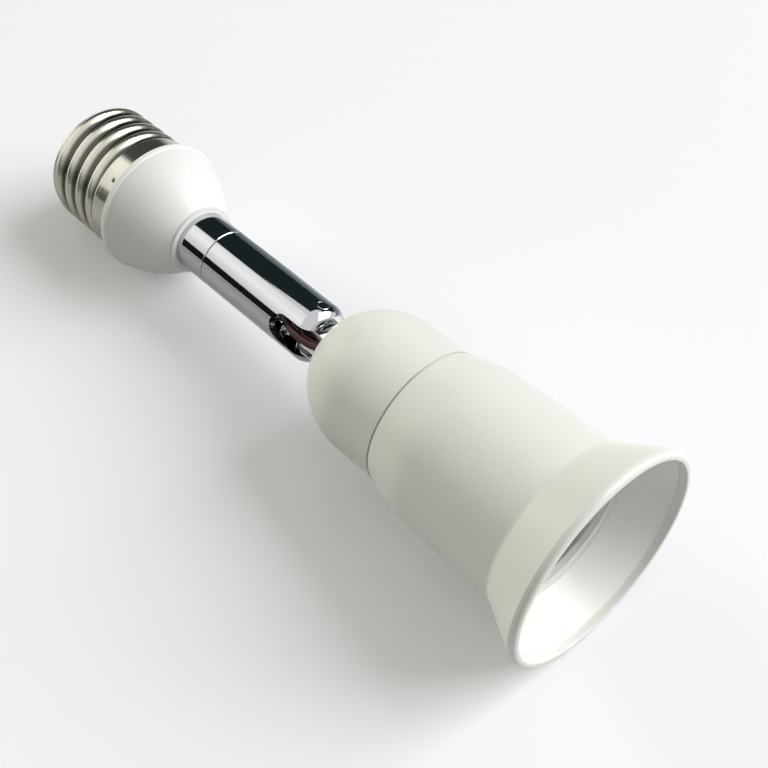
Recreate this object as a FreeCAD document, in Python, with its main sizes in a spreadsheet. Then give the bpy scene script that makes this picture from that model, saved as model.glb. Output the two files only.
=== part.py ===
"""Lamp socket adapter with a swivelling, tilting stem.

A screw cap carries a white base. A chrome stem turns in the base about its own axis. Its forked
end holds the knuckle of a lamp socket, which tilts about a cross pin. Two wires run inside, from
the cap to the contacts of the socket, and show in the slot of the fork.

Heights are measured up from the mouth rim of the socket, which the adapter can stand on. The
common axis of all turned pieces is Z, the cross pin lies along X and the slot opens along Y.
"""
import FreeCAD
import Part
import math
import os
import Sketcher

# Driving dimensions in millimetres
SIZES = {
    # Socket body, from the rim up
    "rim_r": 22.0,
    "rim_wall": 1.5,
    "rim_round": 0.9,
    "rim_band": 1.4,
    "mouth_round": 0.25,
    "mouth_band": 1.6,
    "mouth_step": 0.35,
    "flare_len": 10.4,
    "waist_r": 17.1,
    "waist_wall": 1.6,
    "waist_round": 1.5,
    "ledge_depth": 9.6,
    "ledge_edge": 0.6,
    "taper_len": 23.5,
    "shoulder_r": 16.3,
    "shoulder_round": 24.0,
    "neck_len": 8.3,
    "spigot_len": 4.0,
    "spigot_wall": 1.0,
    "seam_edge": 0.2,
    "floor_depth": 35.5,
    "floor_thick": 2.0,
    "floor_bore_r": 7.6,
    "notch_gap": 0.5,
    # Rear cover
    "cover_r": 14.2,
    "cover_wall": 1.5,
    "cover_len": 22.5,
    "cover_straight": 10.0,
    "nose_r": 8.2,
    "nose_wall": 2.0,
    "nose_round": 0.7,
    # Elbow
    "tilt_gap": 0.35,
    "ear_reach": 3.0,
    "ear_land": 0.15,
    "slot_half": 3.0,
    "slot_reach": 6.8,
    "eye_r": 3.0,
    "flange_r": 6.2,
    "flange_thick": 0.5,
    "pin_r": 1.2,
    "pin_recess": 0.12,
    "pin_chamfer": 0.1,
    "friction_ring_r": 2.8,
    "friction_ring_thick": 0.4,
    "stud_r": 4.95,
    "stud_len": 9.2,
    "neck_bore_r": 2.4,
    "window_half": 1.15,
    "window_rise": 4.4,
    # Stem and swivel
    "tube_r": 6.25,
    "tube_bore_r": 2.9,
    "stem_len": 27.7,
    "swivel_gap": 0.3,
    "journal_r": 4.0,
    "clip_groove": 0.5,
    "clip_thick": 0.7,
    "clip_r": 5.4,
    "clip_end": 1.0,
    "clip_angle": 300.0,
    "stop_pin_r": 0.5,
    "stop_pin_seat": 1.8,
    "stop_pin_rise": 1.0,
    "stop_turn": 165.0,
    "stop_play": 1.0,
    # Base
    "stub_reach": 7.7,
    "stub_seat": 2.0,
    "stub_thread_len": 7.4,
    "plate_thick": 2.2,
    "collar_wall": 1.15,
    "collar_len": 0.7,
    "base_len": 13.5,
    "base_bulge_r": 26.0,
    "lip_r": 14.2,
    "lip_len": 1.5,
    "lip_step": 0.25,
    "lip_round": 0.4,
    "cavity_r": 11.0,
    "cavity_foot_r": 8.8,
    "cavity_cone": 6.6,
    "cap_spigot_len": 4.4,
    # Screw cap
    "cap_skirt_r": 13.1,
    "cap_crest_r": 13.05,
    "cap_root_r": 12.1,
    "cap_skirt_len": 4.9,
    "cap_step": 0.7,
    "cap_first_crest": 2.26,
    "cap_turns": 4,
    "cap_end_len": 1.3,
    "cap_end_r": 10.4,
    "cap_hole_r": 8.0,
    "stake_r": 0.7,
    "stake_depth": 0.35,
    "stake_angle": -57.5,
    "stake_rise": 1.7,
    "insulator_rise": 2.4,
    "insulator_tip_r": 5.2,
    "insulator_flange": 1.7,
    "insulator_edge": 0.45,
    "contact_r": 4.8,
    "contact_thick": 1.9,
    "contact_shank_r": 2.0,
    "contact_bore_r": 1.15,
    "contact_flare_r": 2.8,
    "contact_flare_thick": 0.9,
    # Threads of both the cap and the socket
    "thread_pitch": 3.629,
    "ridge_half": 1.35,
    "ridge_crest_half": 0.4,
    "metal_sheet": 0.45,
    # Screw shell of the socket and its contacts
    "shell_r": 13.8,
    "shell_crest_r": 12.25,
    "shell_setback": 1.1,
    "shell_first_crest": 4.5,
    "shell_turns": 4,
    "shell_hole_r": 6.4,
    "block_thick": 5.1,
    "block_hole_depth": 3.2,
    "strip_thick": 0.4,
    "strip_half": 1.8,
    "strip_base": 3.9,
    "strip_bend": 0.7,
    "strip_reach": 2.2,
    "strip_rise": 2.5,
    "strip_tip": 1.2,
    "plate_half": 2.5,
    "plate_len": 7.2,
    "terminal_plate_thick": 0.6,
    "rivet_r": 1.0,
    "rivet_head_r": 1.4,
    "rivet_head": 0.5,
    "live_rivet_y": -2.4,
    "live_screw_y": -6.3,
    "neutral_screw_y": 4.4,
    "neutral_rivet_y": 8.2,
    "plate_edge": 1.5,
    # Fasteners
    "terminal_screw_r": 1.25,
    "terminal_head_r": 2.1,
    "terminal_head": 1.5,
    "terminal_grip": 5.2,
    "block_screw_x": 9.7,
    "block_screw_r": 0.95,
    "block_head_r": 1.7,
    "block_head": 1.2,
    "block_grip": 4.8,
    "driver_slot": 0.5,
    "nut_flats": 13.0,
    "nut_thick": 2.4,
    "neck_nut_flats": 14.0,
    "neck_nut_thick": 2.8,
    "washer_r": 7.2,
    "washer_thick": 0.6,
    "neck_washer_r": 7.8,
    "neck_washer_thick": 0.5,
    "swivel_washer_r": 6.0,
    "swivel_washer_thick": 0.5,
    "spring_thick": 0.3,
    "spring_dish": 0.5,
    # Wires
    "wire_r": 0.9,
    "wire_offset": 1.2,
    "wire_bulge": 4.15,
    "wire_lead": 2.5,
    "wire_neck_rise": 1.2,
    "wire_spread_rise": 3.6,
    "wire_root_drop": 3.4,
    "wire_drop": 7.5,
    "wire_end": 1.8,
    "cap_wire_rise": 6.8,
    "solder_rise": 5.0,
    "solder_depth": 1.15,
    # Clearances
    "running_gap": 0.05,
    "slip_gap": 0.1,
    "loose_gap": 0.3,
}

# Share of a run that the bend of a wire may take at each end
BEND_SHARE = 0.45
HEX_SIDES = 6
STAKES = 4
# Length by which a cut runs out past the solid
CUT_PAST = 1.0


class Size:
    """A length with its number and the sheet expression that it comes from."""

    def __init__(self, value, text):
        self.value = float(value)
        self.text = text

    def _join(self, other, sign, value):
        return Size(value, f"({self.text} {sign} {other.text})")

    def __add__(self, other):
        other = as_size(other)
        return self._join(other, "+", self.value + other.value)

    def __sub__(self, other):
        other = as_size(other)
        return self._join(other, "-", self.value - other.value)

    def __mul__(self, other):
        other = as_size(other)
        return self._join(other, "*", self.value * other.value)

    def __truediv__(self, other):
        other = as_size(other)
        return self._join(other, "/", self.value / other.value)

    def __neg__(self):
        return Size(-self.value, f"(0 - {self.text})")

    def root(self):
        """Square root of this size."""
        return Size(math.sqrt(self.value), f"sqrt({self.text})")


def as_size(number):
    """Give a plain number the form of a Size."""
    return number if isinstance(number, Size) else Size(number, repr(float(number)))


doc = FreeCAD.newDocument("lamp_socket_adapter")
sheet = doc.addObject("Spreadsheet::Sheet", "sizes")
for row, (alias, number) in enumerate(SIZES.items(), start=1):
    sheet.set(f"A{row}", alias)
    sheet.set(f"B{row}", str(number))
    sheet.setAlias(f"B{row}", alias)
doc.recompute()


def size(alias):
    """Read one driving dimension from the sheet."""
    return Size(sheet.get(alias), f"sizes.{alias}")


def count(alias):
    """Read a number of copies from the sheet."""
    return int(sheet.get(alias))


def origin_feature(body, role):
    """Find an origin plane or axis of a body by its role."""
    return next(item for item in body.Origin.OriginFeatures if item.Role == role)


def bind(feature, prop, value):
    """Set a property and tie it to the sheet."""
    value = as_size(value)
    feature.setExpression(prop, value.text)


def new_body(label):
    body = doc.addObject("PartDesign::Body", label)
    body.Label = label
    return body


def place(body, x=0, y=0, z=0, axis=None, angle=0):
    """Put a body at its seat, turned about an axis by an angle in degrees."""
    if axis is not None:
        body.Placement = FreeCAD.Placement(FreeCAD.Vector(), FreeCAD.Rotation(axis, angle))
    for name, value in zip("xyz", (x, y, z)):
        bind(body, f"Placement.Base.{name}", value)


def new_sketch(body, name, role, offset):
    sketch = body.newObject("Sketcher::SketchObject", name)
    sketch.AttachmentSupport = (origin_feature(body, role), [""])
    sketch.MapMode = "FlatFace"
    if offset is not None:
        bind(sketch, "AttachmentOffset.Base.z", offset)
    return sketch


def fix_point(sketch, geometry, position, x, y):
    """Tie one point of a sketch to its two coordinates."""
    for kind, value in (("DistanceX", x), ("DistanceY", y)):
        index = sketch.addConstraint(Sketcher.Constraint(kind, -1, 1, geometry, position, value.value))
        sketch.setExpression(f"Constraints[{index}]", value.text)


def arc_between(start, end, radius, turn):
    """Short arc from start to end, counterclockwise for a turn of 1 and clockwise for -1."""
    chord = end - start
    left = FreeCAD.Vector(-chord.y, chord.x, 0).normalize()
    rise = math.sqrt(max(radius ** 2 - (chord.Length / 2) ** 2, 0))
    centre = (start + end) / 2 + left * (rise * turn)
    first, last = (start, end) if turn > 0 else (end, start)
    angles = [math.atan2(point.y - centre.y, point.x - centre.x) for point in (first, last)]
    circle = Part.Circle(centre, FreeCAD.Vector(0, 0, 1), radius)
    return Part.ArcOfCircle(circle, angles[0], angles[1])


def profile(body, name, role, path, offset=None):
    """Closed sketch through the points of a path.

    A point is (x, y), reached by a line, or (x, y, radius, turn), reached by an arc.
    """
    sketch = new_sketch(body, name, role, offset)
    points = [(as_size(point[0]), as_size(point[1])) for point in path]
    corners = [FreeCAD.Vector(x.value, y.value, 0) for x, y in points]
    starts, ends = [], []
    for index, corner in enumerate(corners):
        following = path[(index + 1) % len(path)]
        target = corners[(index + 1) % len(path)]
        if len(following) == 2:
            sketch.addGeometry(Part.LineSegment(corner, target), False)
            starts.append(1)
            ends.append(2)
            continue
        radius, turn = as_size(following[2]), following[3]
        sketch.addGeometry(arc_between(corner, target, radius.value, turn), False)
        starts.append(1 if turn > 0 else 2)
        ends.append(2 if turn > 0 else 1)
        constraint = sketch.addConstraint(Sketcher.Constraint("Radius", index, radius.value))
        sketch.setExpression(f"Constraints[{constraint}]", radius.text)
    for index in range(len(path)):
        before = index - 1 if index else len(path) - 1
        sketch.addConstraint(Sketcher.Constraint("Coincident", before, ends[before], index, starts[index]))
        fix_point(sketch, index, starts[index], *points[index])
    return sketch


def circles(body, name, role, rings, offset=None):
    """Sketch of full circles, each given as (x, y, radius)."""
    sketch = new_sketch(body, name, role, offset)
    for index, ring in enumerate(rings):
        x, y, radius = (as_size(value) for value in ring)
        centre = FreeCAD.Vector(x.value, y.value, 0)
        sketch.addGeometry(Part.Circle(centre, FreeCAD.Vector(0, 0, 1), radius.value), False)
        fix_point(sketch, index, 3, x, y)
        constraint = sketch.addConstraint(Sketcher.Constraint("Radius", index, radius.value))
        sketch.setExpression(f"Constraints[{constraint}]", radius.text)
    return sketch


def turned(body, name, path, angle=360):
    """Revolve a half section, drawn as radius and height, about the body's axis."""
    feature = body.newObject("PartDesign::Revolution", name)
    feature.Profile = profile(body, f"{name}_section", "XZ_Plane", path)
    feature.ReferenceAxis = (feature.Profile[0], ["V_Axis"])
    bind(feature, "Angle", angle)
    return feature


def padded(body, name, sketch, length, both_sides=False):
    feature = body.newObject("PartDesign::Pad", name)
    feature.Profile = sketch
    if both_sides:
        feature.SideType = "Symmetric"
    bind(feature, "Length", length)
    return feature


def cut_through(body, name, sketch):
    """Cut a sketch through the whole body, to both sides of its plane."""
    feature = body.newObject("PartDesign::Pocket", name)
    feature.Profile = sketch
    feature.SideType = "Symmetric"
    feature.Type = "ThroughAll"
    return feature


def cut_down(body, name, sketch, depth, upwards=False):
    """Cut a sketch to a depth below its plane, or above it."""
    feature = body.newObject("PartDesign::Pocket", name)
    feature.Profile = sketch
    feature.Reversed = upwards
    bind(feature, "Length", depth)
    return feature


def cut_both(body, name, sketch, width):
    """Cut a sketch over a width that lies half to each side of its plane."""
    feature = body.newObject("PartDesign::Pocket", name)
    feature.Profile = sketch
    feature.SideType = "Symmetric"
    bind(feature, "Length", width)
    return feature


def ring_edge(feature, radius, height):
    """Name of the circular edge of a feature at a radius and height."""
    for number, edge in enumerate(feature.Shape.Edges, start=1):
        curve = edge.Curve
        if not isinstance(curve, Part.Circle):
            continue
        if abs(curve.Radius - radius.value) < 1e-4 and abs(curve.Center.z - height.value) < 1e-4:
            return f"Edge{number}"
    raise ValueError(f"no edge of radius {radius.value} at height {height.value}")


def rounded(body, name, feature, radius, height, fillet):
    """Round one circular edge."""
    doc.recompute()
    step = body.newObject("PartDesign::Fillet", name)
    step.Base = (feature, [ring_edge(feature, radius, height)])
    bind(step, "Radius", fillet)
    return step


def tangent_radius(rise, run):
    """Radius of an arc that starts along the axis and comes in by run over rise."""
    return (rise * rise + run * run) / (run * 2)


def ridges(foot, crest, centres, downwards):
    """Half section of rolled thread ridges, one for each centre height."""
    half, flat = size("ridge_half"), size("ridge_crest_half")
    path = []
    for centre in centres:
        offsets = [(foot, -half), (crest, -flat), (crest, flat), (foot, half)]
        if downwards:
            offsets.reverse()
        path += [(radius, centre + offset) for radius, offset in offsets]
    return path


def hexagon(flats):
    """Corners of a hexagon with two sides along X."""
    corner = flats / math.sqrt(3)
    angles = [math.radians(360 / HEX_SIDES * index) for index in range(HEX_SIDES)]
    return [(corner * math.cos(angle), corner * math.sin(angle)) for angle in angles]


def ring(label, inner, outer, thick, height):
    """Flat washer standing on a height."""
    body = new_body(label)
    turned(body, f"{label}_turning", [(inner, 0), (outer, 0), (outer, thick), (inner, thick)])
    place(body, z=height)
    return body


def hex_nut(label, flats, thick, bore, height):
    body = new_body(label)
    padded(body, f"{label}_hex", profile(body, f"{label}_flats", "XY_Plane", hexagon(flats)), thick)
    cut_through(body, f"{label}_bore", circles(body, f"{label}_hole", "XY_Plane", [(0, 0, bore)]))
    place(body, z=height)
    return body


def slotted_screw(label, shank, grip, head_r, head, seat):
    """Screw with its head up, standing on the seat of its head."""
    body = new_body(label)
    path = [(0, -grip), (shank, -grip), (shank, 0), (head_r, 0), (head_r, head), (0, head)]
    turned(body, f"{label}_turning", path)
    half, reach = size("driver_slot") / 2, head_r + CUT_PAST
    floor = head / 2
    slot = [(-half, floor), (half, floor), (half, head + CUT_PAST), (-half, head + CUT_PAST)]
    cut_both(body, f"{label}_slot", profile(body, f"{label}_slot_section", "YZ_Plane", slot), reach * 2)
    place(body, *seat)
    return body


# Heights above the mouth rim
Z_FLARE = size("flare_len")
Z_SHOULDER = Z_FLARE + size("taper_len")
Z_SEAM = Z_SHOULDER + size("neck_len")
Z_NOSE = Z_SEAM + size("cover_len")
Z_PIVOT = Z_NOSE + size("flange_thick") + size("tube_r") + size("tilt_gap")
Z_TUBE_END = Z_PIVOT - size("ear_reach")
Z_SLOT_ROOT = Z_PIVOT + size("slot_reach")
Z_SWIVEL = Z_PIVOT + size("stem_len")
Z_COLLAR = Z_SWIVEL + size("stub_reach")
Z_STUB_SEAT = Z_COLLAR + size("stub_seat")
Z_PLATE = Z_STUB_SEAT + size("plate_thick")
Z_STUB_TOP = Z_STUB_SEAT + size("stub_thread_len")
Z_SPRING = Z_STUB_TOP + size("running_gap") * 2 + size("swivel_washer_thick")
Z_CLIP = Z_SPRING + size("spring_thick") + size("spring_dish") + size("loose_gap")
Z_GROOVE_TOP = Z_CLIP + size("clip_thick") + size("running_gap")
Z_JOURNAL_TOP = Z_GROOVE_TOP + size("clip_end")
Z_LIP = Z_COLLAR + size("base_len")
Z_CAP = Z_LIP + size("lip_len")
Z_SKIRT = Z_CAP + size("cap_skirt_len")
Z_FIRST_CREST = Z_SKIRT + size("cap_first_crest")
Z_LAST_CREST = Z_FIRST_CREST + size("thread_pitch") * (count("cap_turns") - 1)
Z_THREAD_END = Z_LAST_CREST + size("ridge_half")
Z_CAP_END = Z_THREAD_END + size("cap_end_len")
Z_INSULATOR = Z_CAP_END + size("insulator_rise")
Z_FLOOR = size("floor_depth")
Z_BLOCK = Z_FLOOR - size("block_thick")
Z_PLATES = Z_FLOOR + size("terminal_plate_thick")

# Radii that two pieces share
BORE_R = size("shell_r") + size("loose_gap")
COVER_BORE_R = size("cover_r") - size("cover_wall")
SPIGOT_R = COVER_BORE_R - size("slip_gap")
STUB_THREAD_R = size("stud_r")
STUB_BORE_R = size("journal_r") + size("running_gap")
SKIRT_BORE_R = size("cap_skirt_r") - size("metal_sheet")
CAP_BORE_R = size("cap_root_r") - size("metal_sheet")
STOP_PIN_X = (size("journal_r") + size("tube_r")) / 2
EYE_HALF = size("slot_half") - size("friction_ring_thick") - size("running_gap") - size("slip_gap")
WIRE_BESIDE = size("terminal_screw_r") + size("wire_r") + size("slip_gap")


def socket_body():
    body = new_body("socket_body")
    rim, rim_round = size("rim_r"), size("rim_round")
    waist, band = size("waist_r"), size("rim_band")
    inner, inner_waist = rim - size("rim_wall"), waist - size("waist_wall")
    mouth_round, mouth_band = size("mouth_round"), size("mouth_band")
    ledge, seam_edge = size("ledge_depth"), size("seam_edge")
    top = Z_SEAM + size("spigot_len")
    spigot_bore = SPIGOT_R - size("spigot_wall")
    floor_top = Z_FLOOR + size("floor_thick")
    path = [
        (inner - size("mouth_step"), mouth_band),
        (inner, mouth_band),
        (inner, mouth_round),
        (inner + mouth_round, 0, mouth_round, 1),
        (rim - rim_round, 0),
        (rim, rim_round, rim_round, 1),
        (rim, band),
        (waist, Z_FLARE),
        (size("shoulder_r"), Z_SHOULDER),
        (size("cover_r"), Z_SEAM - seam_edge),
        (size("cover_r") - seam_edge, Z_SEAM),
        (SPIGOT_R, Z_SEAM),
        (SPIGOT_R, top),
        (spigot_bore, top),
        (spigot_bore, floor_top),
        (size("floor_bore_r"), floor_top),
        (size("floor_bore_r"), Z_FLOOR),
        (BORE_R, Z_FLOOR),
        (BORE_R, ledge),
        (inner_waist, ledge),
        (inner_waist, ledge - size("ledge_edge")),
    ]
    shell = turned(body, "socket_turning", path)
    shoulder, shoulder_round = size("shoulder_r"), size("shoulder_round")
    shell = rounded(body, "shoulder_rounding", shell, shoulder, Z_SHOULDER, shoulder_round)
    rounded(body, "waist_rounding", shell, waist, Z_FLARE, size("waist_round"))
    reach = size("neutral_rivet_y") + size("plate_edge") + size("notch_gap")
    low, high = Z_FLOOR - CUT_PAST, floor_top + CUT_PAST
    notch = [(-reach, low), (reach, low), (reach, high), (-reach, high)]
    section = profile(body, "notch_section", "YZ_Plane", notch)
    cut_both(body, "terminal_notch", section, (WIRE_BESIDE + size("wire_r") + size("slip_gap")) * 2)
    hole = size("block_screw_r") + size("slip_gap")
    holes = [(size("block_screw_x") * side, 0, hole) for side in (-1, 1)]
    cut_through(body, "screw_holes", circles(body, "screw_hole_rings", "XY_Plane", holes))
    return body


def rear_cover():
    body = new_body("rear_cover")
    outer, nose, seam_edge = size("cover_r"), size("nose_r"), size("seam_edge")
    straight = Z_SEAM + size("cover_straight")
    inner_nose = Z_NOSE - size("nose_wall")
    radius = tangent_radius(Z_NOSE - straight, outer - nose)
    inner_radius = radius - size("cover_wall")
    rise = inner_nose - straight
    inner_r = outer - radius + (inner_radius * inner_radius - rise * rise).root()
    hole = size("stud_r") + size("slip_gap")
    path = [
        (COVER_BORE_R, Z_SEAM),
        (outer - seam_edge, Z_SEAM),
        (outer, Z_SEAM + seam_edge),
        (outer, straight),
        (nose, Z_NOSE, radius, 1),
        (hole, Z_NOSE),
        (hole, inner_nose),
        (inner_r, inner_nose),
        (COVER_BORE_R, straight, inner_radius, -1),
    ]
    shell = turned(body, "cover_turning", path)
    rounded(body, "nose_rounding", shell, nose, Z_NOSE, size("nose_round"))
    return body


def knuckle():
    """Threaded stud with a flange and an eye, split below the eye to let the wires in."""
    body = new_body("knuckle")
    stud, flange, bore = size("stud_r"), size("flange_r"), size("neck_bore_r")
    bottom = Z_NOSE - size("stud_len")
    flange_top = Z_NOSE + size("flange_thick")
    path = [
        (0, bottom),
        (stud, bottom),
        (stud, Z_NOSE),
        (flange, Z_NOSE),
        (flange, flange_top),
        (0, flange_top),
    ]
    turned(body, "stud_turning", path)
    eye = size("eye_r")
    outline = [
        (-eye, Z_NOSE),
        (eye, Z_NOSE),
        (eye, Z_PIVOT),
        (0, Z_PIVOT + eye, eye, 1),
        (-eye, Z_PIVOT, eye, 1),
    ]
    padded(body, "eye", profile(body, "eye_outline", "YZ_Plane", outline), EYE_HALF * 2, True)
    bore_ring = circles(body, "neck_bore_ring", "XY_Plane", [(0, 0, bore)], bottom)
    cut_down(body, "neck_bore", bore_ring, flange_top - bottom, True)
    half = size("window_half")
    window_top = flange_top + size("window_rise")
    window = [(-half, flange_top), (half, flange_top), (half, window_top), (-half, window_top)]
    section = profile(body, "window_section", "XZ_Plane", window)
    cut_both(body, "wire_window", section, (eye + CUT_PAST) * 2)
    pin_hole = circles(body, "pin_hole_ring", "YZ_Plane", [(0, Z_PIVOT, size("pin_r") + size("running_gap"))])
    cut_through(body, "pin_hole", pin_hole)
    return body


def stem_tube():
    """Tube with a forked, rounded end and a journal that turns in the base."""
    body = new_body("stem_tube")
    outer, bore, half = size("tube_r"), size("tube_bore_r"), size("slot_half")
    end_round = outer - half - size("ear_land")
    journal = size("journal_r")
    shoulder = Z_SWIVEL - size("swivel_gap")
    groove_bottom = Z_CLIP - size("running_gap")
    groove_r = journal - size("clip_groove")
    path = [
        (bore, Z_TUBE_END),
        (outer - end_round, Z_TUBE_END),
        (outer, Z_TUBE_END + end_round, end_round, 1),
        (outer, shoulder),
        (journal, shoulder),
        (journal, groove_bottom),
        (groove_r, groove_bottom),
        (groove_r, Z_GROOVE_TOP),
        (journal, Z_GROOVE_TOP),
        (journal, Z_JOURNAL_TOP),
        (bore, Z_JOURNAL_TOP),
    ]
    turned(body, "tube_turning", path)
    low = Z_TUBE_END - CUT_PAST
    slot = [
        (-half, low),
        (half, low),
        (half, Z_SLOT_ROOT - half),
        (0, Z_SLOT_ROOT, half, 1),
        (-half, Z_SLOT_ROOT - half, half, 1),
    ]
    cut_through(body, "fork_slot", profile(body, "slot_section", "XZ_Plane", slot))
    pin_hole = size("pin_r") + size("running_gap") / 2
    cut_through(body, "ear_holes", circles(body, "ear_rings", "YZ_Plane", [(0, Z_PIVOT, pin_hole)]))
    stop_ring = circles(body, "stop_ring", "XY_Plane", [(STOP_PIN_X, 0, size("stop_pin_r"))], shoulder)
    cut_down(body, "stop_hole", stop_ring, size("stop_pin_seat"))
    return body


def stop_pin():
    body = new_body("stop_pin")
    radius, seat = size("stop_pin_r"), size("stop_pin_seat")
    length = seat + size("swivel_gap") + size("stop_pin_rise")
    turned(body, "stop_pin_turning", [(0, 0), (radius, 0), (radius, length), (0, length)])
    place(body, x=STOP_PIN_X, z=Z_SWIVEL - size("swivel_gap") - seat)
    return body


def base_stub():
    """Fixed bush of the swivel, with an arc groove that stops the turn."""
    body = new_body("base_stub")
    outer, thread = size("tube_r"), STUB_THREAD_R
    path = [
        (STUB_BORE_R, Z_SWIVEL),
        (outer, Z_SWIVEL),
        (outer, Z_STUB_SEAT),
        (thread, Z_STUB_SEAT),
        (thread, Z_STUB_TOP),
        (STUB_BORE_R, Z_STUB_TOP),
    ]
    turned(body, "stub_turning", path)
    half = size("stop_pin_r") + size("running_gap")
    depth = size("stop_pin_rise") + size("loose_gap")
    near, far = STOP_PIN_X - half, STOP_PIN_X + half
    low, high = Z_SWIVEL - CUT_PAST, Z_SWIVEL + depth
    section = [(near, low), (far, low), (far, high), (near, high)]
    groove = body.newObject("PartDesign::Groove", "stop_groove")
    groove.Profile = profile(body, "stop_groove_section", "XZ_Plane", section)
    groove.ReferenceAxis = (groove.Profile[0], ["V_Axis"])
    groove.Midplane = True
    pin_angle = half / STOP_PIN_X * math.degrees(1)
    bind(groove, "Angle", (size("stop_turn") + pin_angle + size("stop_play")) * 2)
    return body


def base_shell():
    body = new_body("base_shell")
    hole = size("tube_r") + size("running_gap")
    stud_hole = STUB_THREAD_R + size("slip_gap")
    collar, lip = size("tube_r") + size("collar_wall"), size("lip_r")
    lip_round, lip_step = size("lip_round"), size("lip_step")
    spigot = SKIRT_BORE_R - size("slip_gap")
    spigot_top = Z_CAP + size("cap_spigot_len")
    cavity = size("cavity_r")
    path = [
        (hole, Z_COLLAR),
        (collar, Z_COLLAR),
        (collar, Z_COLLAR + size("collar_len")),
        (lip - lip_step, Z_LIP, size("base_bulge_r"), 1),
        (lip, Z_LIP + lip_step),
        (lip, Z_CAP - lip_round),
        (lip - lip_round, Z_CAP, lip_round, 1),
        (spigot, Z_CAP),
        (spigot, spigot_top),
        (cavity, spigot_top),
        (cavity, Z_PLATE + size("cavity_cone")),
        (size("cavity_foot_r"), Z_PLATE),
        (stud_hole, Z_PLATE),
        (stud_hole, Z_STUB_SEAT),
        (hole, Z_STUB_SEAT),
    ]
    turned(body, "base_turning", path)
    return body


def cap_shell():
    """Rolled screw shell of the cap, staked to the base through its skirt."""
    body = new_body("cap_shell")
    skirt, root, sheet_thick = size("cap_skirt_r"), size("cap_root_r"), size("metal_sheet")
    step = size("cap_step")
    crests = [Z_FIRST_CREST + size("thread_pitch") * turn for turn in range(count("cap_turns"))]
    end_r, hole = size("cap_end_r"), size("cap_hole_r")
    path = [
        (SKIRT_BORE_R, Z_CAP),
        (skirt, Z_CAP),
        (skirt, Z_SKIRT),
        (root, Z_SKIRT + step),
        *ridges(root, size("cap_crest_r"), crests, False),
        (end_r, Z_CAP_END),
        (hole, Z_CAP_END),
        (hole, Z_CAP_END - sheet_thick),
        (end_r - sheet_thick / 2, Z_CAP_END - sheet_thick),
        (CAP_BORE_R, Z_THREAD_END - sheet_thick / 2),
        (CAP_BORE_R, Z_SKIRT + step - sheet_thick / 2),
        (SKIRT_BORE_R, Z_SKIRT - sheet_thick / 2),
    ]
    turned(body, "cap_turning", path)
    dimple = body.newObject("PartDesign::SubtractiveSphere", "stake")
    bind(dimple, "Radius", size("stake_r"))
    dimple.AttachmentSupport = (origin_feature(body, "XY_Plane"), [""])
    dimple.MapMode = "FlatFace"
    reach = skirt - size("stake_depth") + size("stake_r")
    angle = math.radians(size("stake_angle").value)
    bind(dimple, "AttachmentOffset.Base.x", reach * math.cos(angle))
    bind(dimple, "AttachmentOffset.Base.y", reach * math.sin(angle))
    bind(dimple, "AttachmentOffset.Base.z", Z_CAP + size("stake_rise"))
    pattern = body.newObject("PartDesign::PolarPattern", "stakes")
    pattern.Originals = [dimple]
    pattern.Axis = (origin_feature(body, "Z_Axis"), [""])
    pattern.Angle = 360
    pattern.Occurrences = STAKES
    body.Tip = pattern
    return body


def cap_insulator():
    body = new_body("cap_insulator")
    seat = Z_CAP_END - size("metal_sheet")
    bottom = seat - size("insulator_flange")
    flange = size("cap_end_r") - size("metal_sheet") * 2
    boss = size("cap_hole_r") - size("slip_gap")
    bore = size("contact_shank_r") + size("slip_gap")
    path = [
        (bore, bottom),
        (flange, bottom),
        (flange, seat),
        (boss, seat),
        (boss, Z_CAP_END + size("insulator_edge")),
        (size("insulator_tip_r"), Z_INSULATOR),
        (bore, Z_INSULATOR),
    ]
    turned(body, "insulator_turning", path)
    return body


def tip_contact():
    """Centre contact, riveted through the insulator with a hollow shank."""
    body = new_body("tip_contact")
    button, thick = size("contact_r"), size("contact_thick")
    shank, bore = size("contact_shank_r"), size("contact_bore_r")
    dome = tangent_radius(button, thick / 2)
    foot = Z_CAP_END - size("metal_sheet") - size("insulator_flange")
    flare, flare_low = size("contact_flare_r"), foot - size("contact_flare_thick")
    top = Z_INSULATOR + thick
    path = [
        (bore, flare_low),
        (flare, flare_low),
        (flare, foot),
        (shank, foot),
        (shank, Z_INSULATOR),
        (button, Z_INSULATOR),
        (button, Z_INSULATOR + thick / 2),
        (0, top, dome, 1),
        (0, Z_INSULATOR),
        (bore, Z_INSULATOR),
    ]
    turned(body, "contact_turning", path)
    return body


def screw_shell():
    """Rolled screw shell that the lamp turns into."""
    body = new_body("screw_shell")
    outer, sheet_thick = size("shell_r"), size("metal_sheet")
    front = size("ledge_depth") + size("shell_setback")
    first = front + size("shell_first_crest")
    crests = [first + size("thread_pitch") * turn for turn in reversed(range(count("shell_turns")))]
    root, hole = outer - sheet_thick, size("shell_hole_r")
    path = [
        (root, front),
        (outer, front),
        (outer, Z_BLOCK),
        (hole, Z_BLOCK),
        (hole, Z_BLOCK - sheet_thick),
        (root, Z_BLOCK - sheet_thick),
        *ridges(root, size("shell_crest_r"), crests, True),
    ]
    turned(body, "shell_turning", path)
    rivet = circles(body, "shell_rivet_ring", "XY_Plane", [(0, size("neutral_rivet_y"), rivet_hole())])
    cut_through(body, "shell_rivet_hole", rivet)
    return body


def rivet_hole():
    return size("rivet_r") + size("running_gap")


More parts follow.
